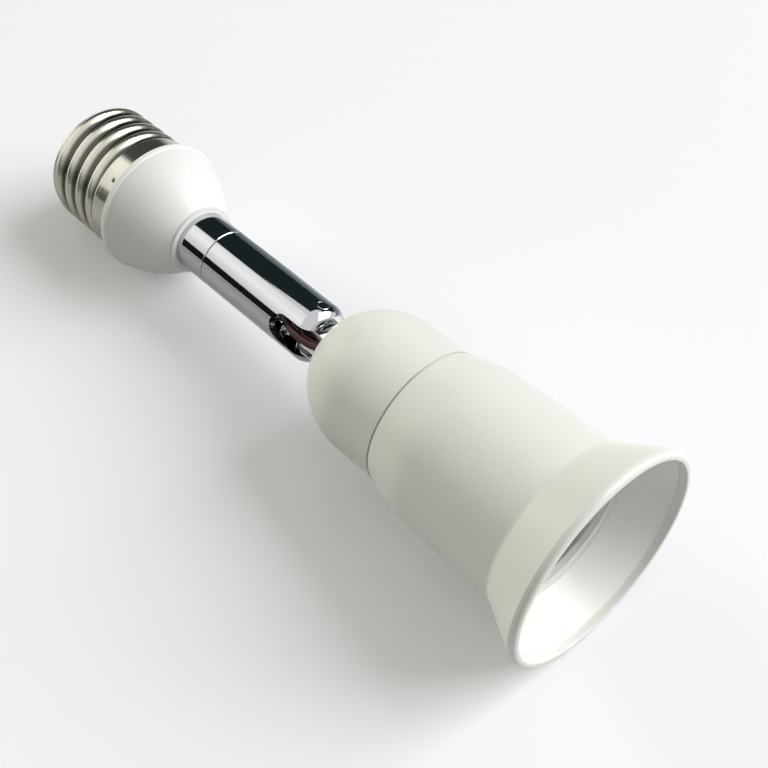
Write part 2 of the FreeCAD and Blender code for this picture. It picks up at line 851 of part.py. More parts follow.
def contact_block():
    """Insulating block that carries the contacts, drilled for its rivets and screws."""
    body = new_body("contact_block")
    radius = BORE_R - size("slip_gap")
    turned(body, "block_turning", [(0, Z_BLOCK), (radius, Z_BLOCK), (radius, Z_FLOOR), (0, Z_FLOOR)])
    rivets = [(0, size("live_rivet_y"), rivet_hole()), (0, size("neutral_rivet_y"), rivet_hole())]
    cut_through(body, "rivet_holes", circles(body, "rivet_rings", "XY_Plane", rivets))
    terminal = size("terminal_screw_r") + size("running_gap")
    small = size("block_screw_r") + size("running_gap")
    screws = [(0, size("live_screw_y"), terminal), (0, size("neutral_screw_y"), terminal)]
    screws += [(size("block_screw_x") * side, 0, small) for side in (-1, 1)]
    rings = circles(body, "screw_rings", "XY_Plane", screws, Z_FLOOR)
    cut_down(body, "screw_bores", rings, size("block_hole_depth"))
    return body


def centre_contact():
    """Springy strip that meets the lamp's centre contact."""
    body = new_body("centre_contact")
    thick, base, bend = size("strip_thick"), size("strip_base"), size("strip_bend")
    reach, rise, tip = size("strip_reach"), size("strip_rise"), size("strip_tip")
    low = Z_BLOCK - rise
    path = [
        (-base, Z_BLOCK),
        (-base, Z_BLOCK - thick),
        (-bend, Z_BLOCK - thick),
        (reach, low - thick),
        (reach + tip, low),
        (reach + tip, low + thick),
        (reach, low),
        (-bend, Z_BLOCK),
    ]
    strip = profile(body, "strip_section", "YZ_Plane", path)
    padded(body, "strip", strip, size("strip_half") * 2, True)
    rivet = circles(body, "strip_rivet_ring", "XY_Plane", [(0, size("live_rivet_y"), rivet_hole())])
    cut_through(body, "strip_rivet_hole", rivet)
    return body


def terminal_plate(label, low, rivet_y, screw_y):
    """Plate behind the block, joined to a contact by a rivet and to a wire by a screw."""
    body = new_body(label)
    half, high = size("plate_half"), low + size("plate_len")
    corners = [(-half, low), (half, low), (half, high), (-half, high)]
    outline = profile(body, f"{label}_outline", "XY_Plane", corners)
    padded(body, f"{label}_sheet", outline, size("terminal_plate_thick"))
    screw_hole = size("terminal_screw_r") + size("running_gap")
    holes = [(0, rivet_y, rivet_hole()), (0, screw_y, screw_hole)]
    cut_through(body, f"{label}_holes", circles(body, f"{label}_rings", "XY_Plane", holes))
    place(body, z=Z_FLOOR)
    return body


def rivet(label, y, front):
    """Rivet from the front of a contact to the back of its terminal plate."""
    body = new_body(label)
    shank, head_r, head = size("rivet_r"), size("rivet_head_r"), size("rivet_head")
    grip = Z_PLATES - front
    path = [
        (0, -head),
        (head_r, -head),
        (head_r, 0),
        (shank, 0),
        (shank, grip),
        (head_r, grip),
        (head_r, grip + head),
        (0, grip + head),
    ]
    turned(body, f"{label}_turning", path)
    place(body, y=y, z=front)
    return body


def retaining_clip():
    """Open ring in the groove of the journal."""
    body = new_body("swivel_clip")
    thick, outer = size("clip_thick"), size("clip_r")
    inner = size("journal_r") - size("clip_groove")
    section = [(inner, 0), (outer, 0), (outer, thick), (inner, thick)]
    turned(body, "clip_turning", section, size("clip_angle"))
    place(body, z=Z_CLIP)
    return body


def swivel_spring():
    """Dished washer that gives the swivel its friction."""
    body = new_body("swivel_spring")
    inner, outer = size("journal_r") + size("slip_gap") * 2, size("swivel_washer_r")
    thick, dish = size("spring_thick"), size("spring_dish")
    path = [(outer, 0), (outer, thick), (inner, dish + thick), (inner, dish)]
    turned(body, "spring_turning", path)
    place(body, z=Z_SPRING)
    return body


def pivot_pin():
    body = new_body("pivot_pin")
    radius, chamfer = size("pin_r"), size("pin_chamfer")
    half = size("tube_r") - size("pin_recess")
    path = [
        (0, -half),
        (radius - chamfer, -half),
        (radius, chamfer - half),
        (radius, half - chamfer),
        (radius - chamfer, half),
        (0, half),
    ]
    turned(body, "pivot_turning", path)
    place(body, z=Z_PIVOT, axis=FreeCAD.Vector(0, 1, 0), angle=90)
    return body


def friction_ring(label, side):
    """Friction washer between the eye and one ear of the fork."""
    body = new_body(label)
    inner = size("pin_r") + size("slip_gap")
    outer, thick = size("friction_ring_r"), size("friction_ring_thick")
    turned(body, f"{label}_turning", [(inner, 0), (outer, 0), (outer, thick), (inner, thick)])
    seat = (EYE_HALF + size("running_gap")) * side
    place(body, x=seat, z=Z_PIVOT, axis=FreeCAD.Vector(0, 1, 0), angle=90 * side)
    return body


def bent_path(points):
    """Straight runs joined by tangent arcs, as large as the runs allow."""
    corners = [FreeCAD.Vector(*(as_size(value).value for value in point)) for point in points]
    edges, start = [], corners[0]
    for before, corner, after in zip(corners, corners[1:], corners[2:]):
        into, out = (before - corner), (after - corner)
        trim = BEND_SHARE * min(into.Length, out.Length)
        turn = math.pi - into.getAngle(out)
        radius = trim / math.tan(turn / 2)
        into.normalize()
        out.normalize()
        entry, leave = corner + into * trim, corner + out * trim
        bisector = (into + out).normalize()
        centre = corner + bisector * math.hypot(trim, radius)
        middle = centre - bisector * radius
        edges.append(Part.LineSegment(start, entry).toShape())
        edges.append(Part.Arc(entry, middle, leave).toShape())
        start = leave
        print(f"bend radius {radius:.2f} mm")
    edges.append(Part.LineSegment(start, corners[-1]).toShape())
    return Part.Wire(edges)


def wire(label, points):
    """Insulated wire swept along its route."""
    route = bent_path(points)
    first = route.Vertexes[0].Point
    direction = (route.Vertexes[1].Point - first).normalize()
    radius = size("wire_r").value
    section = Part.Wire(Part.Circle(first, direction, radius).toShape())
    feature = doc.addObject("Part::Feature", label)
    feature.Label = label
    feature.Shape = route.makePipeShell([section], True, False)
    feature.Placement = FreeCAD.Placement()
    expected = math.pi * radius ** 2 * route.Length
    print(f"{label} volume {feature.Shape.Volume:.2f} mm3, section times length {expected:.2f} mm3")
    return feature


def elbow_route(side):
    """Part of a wire from the terminals' side of the knuckle up to the top of the stem."""
    inside, bulge = size("wire_offset") * side, size("wire_bulge") * side
    flange_top = Z_NOSE + size("flange_thick")
    return [
        (0, inside, Z_NOSE - size("stud_len") - size("wire_lead")),
        (0, inside, flange_top + size("wire_neck_rise")),
        (0, bulge, flange_top + size("wire_spread_rise")),
        (0, bulge, Z_SLOT_ROOT - size("wire_root_drop")),
        (0, inside, Z_SLOT_ROOT),
        (0, inside, Z_JOURNAL_TOP + size("wire_lead")),
    ]


def live_wire():
    lying = Z_PLATES + size("wire_r")
    screw = size("live_screw_y")
    down = screw + size("terminal_head_r") + size("wire_r") - size("loose_gap")
    return wire("live_wire", [
        (WIRE_BESIDE, screw - size("wire_end"), lying),
        (WIRE_BESIDE, down, lying),
        (WIRE_BESIDE, down, lying + size("wire_drop")),
        *elbow_route(-1),
        (0, 0, Z_CAP + size("cap_wire_rise")),
        (0, 0, Z_INSULATOR - size("solder_depth")),
    ])


def neutral_wire():
    lying = Z_PLATES + size("wire_r")
    screw = size("neutral_screw_y")
    down = screw - size("terminal_head_r") - size("wire_r") + size("loose_gap")
    end = CAP_BORE_R - size("wire_r") - size("running_gap")
    return wire("neutral_wire", [
        (-WIRE_BESIDE, screw + size("wire_end"), lying),
        (-WIRE_BESIDE, down, lying),
        (-WIRE_BESIDE, down, lying + size("wire_drop")),
        *elbow_route(1),
        (0, end - size("wire_end"), Z_CAP + size("cap_wire_rise")),
        (0, end, Z_CAP + size("cap_wire_rise") + size("solder_rise")),
    ])


def fasteners():
    """Nuts, washers and screws that hold the pieces together."""
    stud_bore = size("stud_r") + size("running_gap")
    inner_nose = Z_NOSE - size("nose_wall")
    neck_washer = inner_nose - size("neck_washer_thick")
    plate_washer = Z_PLATE + size("washer_thick")
    journal_bore = size("journal_r") + size("slip_gap")
    washer_bore = stud_bore + size("slip_gap")
    parts_of_screw = ("screw_r", "grip", "head_r", "head")
    terminal = [size(f"terminal_{name}") for name in parts_of_screw]
    small = [size(f"block_{name}") for name in parts_of_screw]
    clamped = Z_PLATES + size("wire_r") * 2
    floor_top = Z_FLOOR + size("floor_thick")
    return [
        ring("stub_washer", washer_bore, size("washer_r"), size("washer_thick"), Z_PLATE),
        hex_nut("stub_lock_nut", size("nut_flats"), size("nut_thick"), stud_bore, plate_washer),
        ring("swivel_washer", journal_bore, size("swivel_washer_r"), size("swivel_washer_thick"),
             Z_STUB_TOP + size("running_gap")),
        ring("neck_washer", washer_bore, size("neck_washer_r"), size("neck_washer_thick"), neck_washer),
        hex_nut("neck_lock_nut", size("neck_nut_flats"), size("neck_nut_thick"), stud_bore,
                neck_washer - size("neck_nut_thick")),
        slotted_screw("live_terminal_screw", *terminal, (0, size("live_screw_y"), clamped)),
        slotted_screw("neutral_terminal_screw", *terminal, (0, size("neutral_screw_y"), clamped)),
        slotted_screw("block_screw_left", *small, (-size("block_screw_x"), 0, floor_top)),
        slotted_screw("block_screw_right", *small, (size("block_screw_x"), 0, floor_top)),
    ]


def contacts():
    """Plates and rivets that join the contacts of the socket to the wires."""
    edge = size("plate_edge")
    live_low = size("live_rivet_y") + edge - size("plate_len")
    neutral_low = size("neutral_rivet_y") + edge - size("plate_len")
    return [
        terminal_plate("live_plate", live_low, size("live_rivet_y"), size("live_screw_y")),
        terminal_plate("neutral_plate", neutral_low, size("neutral_rivet_y"), size("neutral_screw_y")),
        rivet("live_rivet", size("live_rivet_y"), Z_BLOCK - size("strip_thick")),
        rivet("neutral_rivet", size("neutral_rivet_y"), Z_BLOCK - size("metal_sheet")),
    ]


def build():
    """Make every piece, check it and write it to its own file."""
    pieces = [
        socket_body(), rear_cover(), knuckle(), stem_tube(), stop_pin(), base_stub(), base_shell(),
        cap_shell(), cap_insulator(), tip_contact(), screw_shell(), contact_block(), centre_contact(),
        retaining_clip(), swivel_spring(), pivot_pin(), friction_ring("friction_ring_left", -1),
        friction_ring("friction_ring_right", 1), live_wire(), neutral_wire(), *contacts(), *fasteners(),
    ]
    doc.recompute()
    for item in doc.Objects:
        if "Invalid" in item.State or "Error" in item.State:
            raise RuntimeError(f"{item.Label} failed: {item.State}")
    os.makedirs("parts", exist_ok=True)
    for piece in pieces:
        shape = piece.Shape
        if shape.isNull() or not shape.isValid() or not shape.Solids:
            raise RuntimeError(f"{piece.Label} has no valid solid")
        shape.exportStep(f"parts/{piece.Label}.step")
        box = shape.BoundBox
        print(f"{piece.Label}: {len(shape.Solids)} solid, {shape.Volume:.1f} mm3, "
              f"height {box.ZMin:.2f} to {box.ZMax:.2f}")


build()
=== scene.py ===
"""Looks of the lamp socket adapter: its finishes, its rolled threads, its wires and the studio.

The adapter stands on the mouth of its socket in its own frame, with +Z up to the screw cap. In the
studio it lies on a pale glossy table, which is a plane that touches the mouth rim and the cap.
Sizes in the dataclasses are in millimetres, as they are read from a drawing. Meshes are in metres.
"""

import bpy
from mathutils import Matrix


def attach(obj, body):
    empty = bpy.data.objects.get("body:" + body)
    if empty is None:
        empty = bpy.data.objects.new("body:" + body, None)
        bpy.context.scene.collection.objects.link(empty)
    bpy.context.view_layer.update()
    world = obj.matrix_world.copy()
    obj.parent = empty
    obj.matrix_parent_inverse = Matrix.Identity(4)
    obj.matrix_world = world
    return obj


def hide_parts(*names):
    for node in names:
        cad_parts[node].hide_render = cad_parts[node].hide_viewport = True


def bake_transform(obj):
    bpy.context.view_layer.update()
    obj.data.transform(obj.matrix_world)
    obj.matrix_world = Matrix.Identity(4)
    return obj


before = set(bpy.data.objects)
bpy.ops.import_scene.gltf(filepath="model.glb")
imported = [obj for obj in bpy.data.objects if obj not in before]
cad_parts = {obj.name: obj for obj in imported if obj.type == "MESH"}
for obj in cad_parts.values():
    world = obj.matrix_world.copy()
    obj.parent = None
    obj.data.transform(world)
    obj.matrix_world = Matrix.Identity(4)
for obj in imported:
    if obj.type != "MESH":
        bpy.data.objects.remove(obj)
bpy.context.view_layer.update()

import logging
import math
from dataclasses import dataclass
from enum import Enum
from functools import cached_property
from typing import Callable, Iterable, Sequence

import bmesh
import bpy
from mathutils import Matrix, Vector

LOG = logging.getLogger("adapter")
MM = 0.001
# Mesh attributes: depth in a groove and share of rolled surface, both from 0 to 1, and the
# light that a card gives off or lets through
# The groove attribute sets where the cap's grooves and stake dimples get painted shade
GROOVE_SHADE_MASK = "groove"
ROLLED = "rolled"
BRIGHTNESS = "brightness"
# Sockets of a Mix node that hold its two colours and their mix
MIX_COLOURS = (6, 7)
MIX_RESULT = 2
Node = bpy.types.Node
Socket = bpy.types.NodeSocket
Tree = bpy.types.ShaderNodeTree
Colour = tuple[float, float, float]
Place = tuple[float, float, float]
# Radius and height in millimetres
Ring = tuple[float, float]


class Slot(Enum):
    """Material slots of the record that the finishes stand for."""

    SOCKET_WHITE = "socket_white"
    BASE_WHITE = "base_white"
    CHROME = "stem_chrome"
    NICKEL = "cap_nickel"
    SHELL = "shell_nickel"
    STEEL = "steel"
    BRASS = "brass"
    GLASS = "cap_glass"
    CERAMIC = "block_ceramic"
    NYLON = "friction_nylon"
    WIRE_BROWN = "wire_brown"
    WIRE_BLUE = "wire_blue"


class Lay(Enum):
    """Direction in which a metal was turned, rolled or polished.

    Each value holds the density of the lines round the axis and along it.
    """

    ROUND = (1.5, 6000.0)
    LENGTHWISE = (60.0, 120.0)


def feed(tree: Tree, socket: Socket, value: object) -> None:
    """Link a socket to an input of a node, or set the input's own value.

    Args:
        tree: Tree of a group, a material or the world.
        socket: The input.
        value: A socket, or a value of the input's kind.
    """
    if isinstance(value, Socket):
        tree.links.new(value, socket)
    else:
        socket.default_value = value


def calculate(tree: Tree, operation: str, *values: object) -> Socket:
    """Add a Math node.

    Args:
        tree: Tree of a group, a material or the world.
        operation: Blender's name of the operation.
        *values: A socket or a number for each input that the operation uses.

    Returns:
        The socket of the result.
    """
    node = tree.nodes.new("ShaderNodeMath")
    node.operation = operation
    for socket, value in zip(node.inputs, values):
        feed(tree, socket, value)
    return node.outputs[0]


def mix_colours(
    tree: Tree, share: Socket, first: object, second: object, blend: str = "MIX"
) -> Socket:
    """Add a Mix node for two colours.

    Args:
        tree: Tree of a material or of the world.
        share: Socket that is 0 for the first colour and 1 for the second.
        first: A socket, or linear red, green and blue.
        second: A socket, or linear red, green and blue.
        blend: Blender's name of the kind of mix.

    Returns:
        The socket of the colour.
    """
    node = tree.nodes.new("ShaderNodeMix")
    node.data_type = "RGBA"
    node.blend_type = blend
    tree.links.new(share, node.inputs["Factor"])
    for place, colour in zip(MIX_COLOURS, (first, second)):
        feed(tree, node.inputs[place], colour if isinstance(colour, Socket) else (*colour, 1.0))
    return node.outputs[MIX_RESULT]


def read_attribute(tree: Tree, name: str) -> Node:
    """Add an Attribute node.

    Args:
        tree: Tree of a material.
        name: Name of the mesh attribute.

    Returns:
        The node.
    """
    node = tree.nodes.new("ShaderNodeAttribute")
    node.attribute_name = name
    return node


class Groups:
    """Shader groups that several finishes share, each built when it is first used."""

    fine_share = 0.4
    fine_detail = 3.0
    broad_scale = 0.06
    broad_detail = 2.0
    streak_detail = 4.0
    least_radius = 1e-5

    @staticmethod
    def _open(name: str, inputs: Sequence[str], outputs: Sequence[str]) -> tuple[Tree, Node, Node]:
        """Start a group.

        Args:
            name: Name of the group.
            inputs: Name of each value that goes in.
            outputs: Name of each value that comes out.

        Returns:
            The group, its input node and its output node.
        """
        tree = bpy.data.node_groups.new(name, "ShaderNodeTree")
        for way, sockets in (("INPUT", inputs), ("OUTPUT", outputs)):
            for socket in sockets:
                tree.interface.new_socket(socket, in_out=way, socket_type="NodeSocketFloat")
        return tree, tree.nodes.new("NodeGroupInput"), tree.nodes.new("NodeGroupOutput")

    @staticmethod
    def _axes(tree: Tree) -> Sequence[Socket]:
        """Read the place on the piece.

        Args:
            tree: The group.

        Returns:
            The sockets of its X, Y and Z in metres.
        """
        split = tree.nodes.new("ShaderNodeSeparateXYZ")
        tree.links.new(tree.nodes.new("ShaderNodeTexCoord").outputs["Object"], split.inputs[0])
        return split.outputs[:]

    @staticmethod
    def _noise(tree: Tree, place: Socket, scale: object, detail: float) -> Socket:
        """Add a noise.

        Args:
            tree: The group.
            place: Socket of the place where the noise is read.
            scale: A socket or a number for its scale.
            detail: Its detail.

        Returns:
            The socket of the noise, from 0 to 1.
        """
        node = tree.nodes.new("ShaderNodeTexNoise")
        node.inputs["Detail"].default_value = detail
        feed(tree, node.inputs["Vector"], place)
        feed(tree, node.inputs["Scale"], scale)
        return node.outputs["Fac"]

    @staticmethod
    def _put_out(tree: Tree, given: Node, result: Node, noise: Socket, height: Socket) -> None:
        """Put out a noise that swings round Level by Spread, and a height.

        Args:
            tree: The group.
            given: Its input node.
            result: Its output node.
            noise: Socket of the noise, from 0 to 1.
            height: Socket of the height.
        """
        middle = calculate(tree, "SUBTRACT", noise, 0.5)
        swing = calculate(tree, "MULTIPLY", middle, given.outputs["Spread"])
        level = calculate(tree, "ADD", swing, given.outputs["Level"])
        tree.links.new(level, result.inputs["Value"])
        tree.links.new(height, result.inputs["Height"])

    @cached_property
    def grain(self) -> Tree:
        """Fine grain of a moulded or cast surface.

        Returns:
            A group with the inputs Scale, Level and Spread and the outputs Value and Height.
        """
        tree, given, result = self._open(
            "surface_grain", ("Scale", "Level", "Spread"), ("Value", "Height")
        )
        place = tree.nodes.new("ShaderNodeTexCoord").outputs["Object"]
        scale = given.outputs["Scale"]
        wide = calculate(tree, "MULTIPLY", scale, self.broad_scale)
        fine = self._noise(tree, place, scale, self.fine_detail)
        broad = self._noise(tree, place, wide, self.broad_detail)
        mixed = calculate(
            tree,
            "ADD",
            calculate(tree, "MULTIPLY", fine, self.fine_share),
            calculate(tree, "MULTIPLY", broad, 1.0 - self.fine_share),
        )
        self._put_out(tree, given, result, mixed, fine)
        return tree

    @cached_property
    def joint(self) -> Tree:
        """Painted shade in a narrow joint round the axis.

        Returns:
            A group with the inputs Height and Half and the output Value, which is 1 in the
            joint and 0 beside it.
        """
        tree, given, result = self._open("joint_shade", ("Height", "Half"), ("Value",))
        rise = calculate(tree, "SUBTRACT", self._axes(tree)[2], given.outputs["Height"])
        away = calculate(tree, "ABSOLUTE", rise)
        inside = calculate(tree, "LESS_THAN", away, given.outputs["Half"])
        tree.links.new(inside, result.inputs["Value"])
        return tree

    @cached_property
    def streaks(self) -> Tree:
        """Fine lines that a tool or a polishing wheel leaves on a turned piece.

        Returns:
            A group with the inputs Round, Along, Level and Spread and the outputs Value and
            Height. Round and Along are the density of the lines round the axis and along it.
        """
        tree, given, result = self._open(
            "turning_streaks", ("Round", "Along", "Level", "Spread"), ("Value", "Height")
        )
        x, y, z = self._axes(tree)
        squares = [calculate(tree, "MULTIPLY", part, part) for part in (x, y)]
        radius = calculate(tree, "POWER", calculate(tree, "ADD", *squares), 0.5)
        safe = calculate(tree, "MAXIMUM", radius, self.least_radius)
        joined = tree.nodes.new("ShaderNodeCombineXYZ")
        for part, socket in zip((x, y), joined.inputs):
            turn = calculate(tree, "DIVIDE", part, safe)
            feed(tree, socket, calculate(tree, "MULTIPLY", turn, given.outputs["Round"]))
        feed(tree, joined.inputs["Z"], calculate(tree, "MULTIPLY", z, given.outputs["Along"]))
        noise = self._noise(tree, joined.outputs[0], 1.0, self.streak_detail)
        self._put_out(tree, given, result, noise, noise)
        return tree


GROUPS = Groups()


@dataclass(frozen=True)
class Finish:
    """A plain surface with one colour. Its kinds add their own grain.

    Args:
        name: Name of the material.
        slot: Slot of the record that it stands for.
        colour: Linear red, green and blue.
        roughness: Middle of the roughness.
    """

    name: str
    slot: Slot
    colour: Colour
    roughness: float

    def material(self) -> bpy.types.Material:
        """Build the material.

        Returns:
            The finished material.
        """
        material = bpy.data.materials.new(self.name)
        material.use_nodes = True
        shader = material.node_tree.nodes["Principled BSDF"]
        shader.inputs["Base Color"].default_value = (*self.colour, 1.0)
        shader.inputs["Roughness"].default_value = self.roughness
        self._detail(material.node_tree, shader)
        return material

    def _detail(self, tree: Tree, shader: Node) -> None:
        """Leave the surface plain."""

    @staticmethod
    def _place(tree: Tree, group: Tree, **values: float) -> Node:
        """Put a group into a material.

        Args:
            tree: Tree of the material.
            group: The group.
            **values: Values of the group's inputs by name.

        Returns:
            The group node.
        """
        node = tree.nodes.new("ShaderNodeGroup")
        node.node_tree = group
        for name, value in values.items():
            node.inputs[name].default_value = value
        return node

    @staticmethod
    def _bump(tree: Tree, shader: Node, height: Socket, strength: float, depth: float) -> None:
        """Let a height raise the surface.

        Args:
            tree: Tree of the material.
            shader: Its Principled node.
            height: Socket that gives the height.
            strength: Strength of the bump.
            depth: Depth of the bump in metres.
        """
        bump = tree.nodes.new("ShaderNodeBump")
        bump.inputs["Strength"].default_value = strength
        bump.inputs["Distance"].default_value = depth
        tree.links.new(height, bump.inputs["Height"])
        tree.links.new(bump.outputs["Normal"], shader.inputs["Normal"])

    def _tint(self, tree: Tree, shader: Node, mask: Socket, darker: float) -> Socket:
        """Let a mask shift the colour a little.

        Args:
            tree: Tree of the material.
            shader: Its Principled node.
            mask: Value from 0 to 1 over the surface.
            darker: Brightness where the mask is 0, as a share of the colour.

        Returns:
            The socket of the shifted colour.
        """
        dark = tuple(part * darker for part in self.colour)
        shifted = mix_colours(tree, mask, dark, self.colour)
        tree.links.new(shifted, shader.inputs["Base Color"])
        return shifted

    @staticmethod
    def _paint_shade(tree: Tree, shader: Node, colour: Socket, mask: Socket, darker: float) -> None:
        """Paint shade: bring the colour down to a share of its brightness where the mask is 1."""
        shaded = mix_colours(tree, mask, colour, (darker, darker, darker), "MULTIPLY")
        tree.links.new(shaded, shader.inputs["Base Color"])


@dataclass(frozen=True)
class Moulded(Finish):
    """Moulded plastic, cast ceramic or drawn insulation with a fine grain.

    Args:
        grain_scale: Scale of the grain.
        spread: Swing of the roughness over the grain.
        grain_depth: Depth of the grain in metres.
        strength: Strength of the grain's bump.
        darker: Brightness in the grain's pits, as a share of the colour.
        ior: Index of refraction.
        joint: Height in millimetres of a joint that gets painted shade, where there is one.
        joint_half: Half of the joint's height in millimetres.
        joint_shade: Brightness of the painted shade in the joint, as a share of the colour.
    """

    grain_scale: float = 1800.0
    spread: float = 0.12
    grain_depth: float = 0.00002
    strength: float = 0.25
    darker: float = 0.965
    ior: float = 1.49
    joint: float | None = None
    joint_half: float = 0.21
    joint_shade: float = 0.6

    def _detail(self, tree: Tree, shader: Node) -> None:
        """Add the grain, and the painted shade in a joint.

        Args:
            tree: Tree of the material.
            shader: Its Principled node.
        """
        shader.inputs["IOR"].default_value = self.ior
        grain = self._place(
            tree, GROUPS.grain, Scale=self.grain_scale, Level=self.roughness, Spread=self.spread
        )
        height = grain.outputs["Height"]
        tree.links.new(grain.outputs["Value"], shader.inputs["Roughness"])
        self._bump(tree, shader, height, self.strength, self.grain_depth)
        colour = self._tint(tree, shader, height, self.darker)
        # Painted shade: the colour is darkened in a narrow band at the joint between two parts
        if self.joint is not None:
            joint = self._place(
                tree, GROUPS.joint, Height=self.joint * MM, Half=self.joint_half * MM
            )
            self._paint_shade(tree, shader, colour, joint.outputs["Value"], self.joint_shade)


@dataclass(frozen=True)
class Metal(Finish):
    """Turned, rolled or plated metal with the fine lines of its making.

    Args:
        lay: Direction of the lines.
        spread: Swing of the roughness over the lines.
        line_depth: Depth of the lines in metres.
        strength: Strength of the lines' bump.
        darker: Brightness in the lines, as a share of the colour.
        groove_shade: Brightness of the painted shade in the grooves of a thread, where there is
            one.
        rolled: How much rougher a rolled surface is.
        metallic: Share of the metal in the surface.
    """

    lay: Lay = Lay.ROUND
    spread: float = 0.05
    line_depth: float = 0.00001
    strength: float = 0.1
    darker: float = 0.94
    groove_shade: float | None = None
    rolled: float = 0.0
    metallic: float = 1.0

    def _detail(self, tree: Tree, shader: Node) -> None:
        """Add the lines, the duller rolled surface and the painted shade in the grooves.

        Args:
            tree: Tree of the material.
            shader: Its Principled node.
        """
        shader.inputs["Metallic"].default_value = self.metallic
        across, along = self.lay.value
        lines = self._place(
            tree,
            GROUPS.streaks,
            Round=across,
            Along=along,
            Level=self.roughness,
            Spread=self.spread,
        )
        height = lines.outputs["Height"]
        rolled = read_attribute(tree, ROLLED).outputs["Fac"]
        duller = calculate(tree, "MULTIPLY_ADD", rolled, self.rolled, lines.outputs["Value"])
        tree.links.new(duller, shader.inputs["Roughness"])
        self._bump(tree, shader, height, self.strength, self.line_depth)
        colour = self._tint(tree, shader, height, self.darker)
        # Painted shade: the colour is darkened in the thread's grooves and the cap's stake dimples
        if self.groove_shade is not None:
            groove = read_attribute(tree, GROOVE_SHADE_MASK).outputs["Fac"]
            self._paint_shade(tree, shader, colour, groove, self.groove_shade)


class Finishes:
    """Every finish of the adapter, built when it is first used."""

    LIST: tuple[Finish, ...] = (
        # joint=42.2 paints shade along the seam of the socket body and its rear cover
        Moulded("socket_satin_white", Slot.SOCKET_WHITE, (0.8, 0.812, 0.78), 0.36, joint=42.2),
        Moulded("base_gloss_white", Slot.BASE_WHITE, (0.83, 0.85, 0.84), 0.42, spread=0.08),
        Metal("stem_bright_chrome", Slot.CHROME, (0.57, 0.58, 0.585), 0.045, spread=0.03),
        Metal(
            "cap_rolled_nickel",
            Slot.NICKEL,
            (0.7, 0.68, 0.57),
            0.16,
            Lay.LENGTHWISE,
            spread=0.14,
            strength=0.65,
            darker=0.8,
            # painted shade in the thread's grooves and stake dimples
            groove_shade=0.16,
            rolled=0.06,
            metallic=0.95,
        ),
        Metal("shell_rolled_nickel", Slot.SHELL, (0.66, 0.66, 0.64), 0.2, Lay.LENGTHWISE),
        Metal("fastener_steel", Slot.STEEL, (0.55, 0.55, 0.55), 0.28, spread=0.12),
        Metal("contact_brass", Slot.BRASS, (0.76, 0.58, 0.28), 0.24, spread=0.1),
        Moulded("insulator_black_glass", Slot.GLASS, (0.012, 0.012, 0.014), 0.1, spread=0.05),
        Moulded("block_ceramic", Slot.CERAMIC, (0.8, 0.77, 0.7), 0.6, darker=0.9),
        Moulded("ring_nylon", Slot.NYLON, (0.72, 0.71, 0.66), 0.45),
        Moulded("wire_brown_sleeve", Slot.WIRE_BROWN, (0.06, 0.012, 0.009), 0.34, ior=1.53),
        Moulded("wire_blue_sleeve", Slot.WIRE_BLUE, (0.012, 0.016, 0.032), 0.34, ior=1.53),
    )

    def __init__(self) -> None:
        """Start with no materials."""
        self._made: dict[Slot, bpy.types.Material] = {}

    def get(self, slot: Slot) -> bpy.types.Material:
        """Give the material of a slot.

        Args:
            slot: Slot of the record.

        Returns:
            The material, the same one each time.
        """
        if slot not in self._made:
            finish = next(item for item in self.LIST if item.slot is slot)
            self._made[slot] = finish.material()
        return self._made[slot]


def smooth_step(low: float, high: float, value: float) -> float:
    """Rise gently from 0 at the low value to 1 at the high one, which may be the smaller."""
    share = min(1.0, max(0.0, (value - low) / (high - low)))
    return share * share * (3.0 - 2.0 * share)


def soft_limit(first: float, second: float, blend: float, higher: bool) -> float:
    """Smaller or larger of two radii, with the corner between them rounded.

    Args:
        first: A radius.
        second: Another radius.
        blend: Width over which the corner is rounded.
        higher: True for the larger one.

    Returns:
        The radius.
    """
    sign = 1.0 if higher else -1.0
    share = max(blend - abs(first - second), 0.0) / blend
    chosen = max(first, second) if higher else min(first, second)
    return chosen + sign * share * share * blend / 4.0


@dataclass(frozen=True)
class RolledThread:
    """Rolled lamp thread whose section is made of crest and groove arcs.

    Args:
        crest: Radius over the crests.
        root: Radius in the grooves.
        start: Height of a crest at the angle 0.
        pitch: Rise of one turn.
        arc: Radius of the arcs.
    """

    crest: float
    root: float
    start: float
    pitch: float = 3.629
    arc: float = 1.03

    def radius(self, height: float, angle: float) -> float:
        """Radius of the thread at one place.

        Args:
            height: Height in millimetres.
            angle: Angle round the axis in radians.

        Returns:
            The radius in millimetres.
        """
        half = self.pitch / 2.0
        turns = (height - self.start) / self.pitch - angle / (2.0 * math.pi)
        away = abs(turns - round(turns)) * self.pitch
        depth = self.crest - self.root
        span = 2.0 * self.arc - depth
        lean = math.atan2(half, span) - math.acos(min(1.0, 2.0 * self.arc / math.hypot(half, span)))
        reach = self.arc * math.sin(lean)
        if away <= reach:
            return self.crest - self.arc + math.sqrt(self.arc**2 - away**2)
        if away >= half - reach:
            return self.root + self.arc - math.sqrt(self.arc**2 - (half - away) ** 2)
        upper = self.crest - self.arc * (1.0 - math.cos(lean))
        lower = self.root + self.arc * (1.0 - math.cos(lean))
        return upper + (lower - upper) * (away - reach) / (half - 2.0 * reach)


def add_object(name: str, data: bpy.types.ID) -> bpy.types.Object:
    """Make an object and put it into the scene.

    Args:
        name: Name of the object.
        data: Its mesh, lamp or camera.

    Returns:
        The object.
    """
    made = bpy.data.objects.new(name, data)
    bpy.context.scene.collection.objects.link(made)
    return made


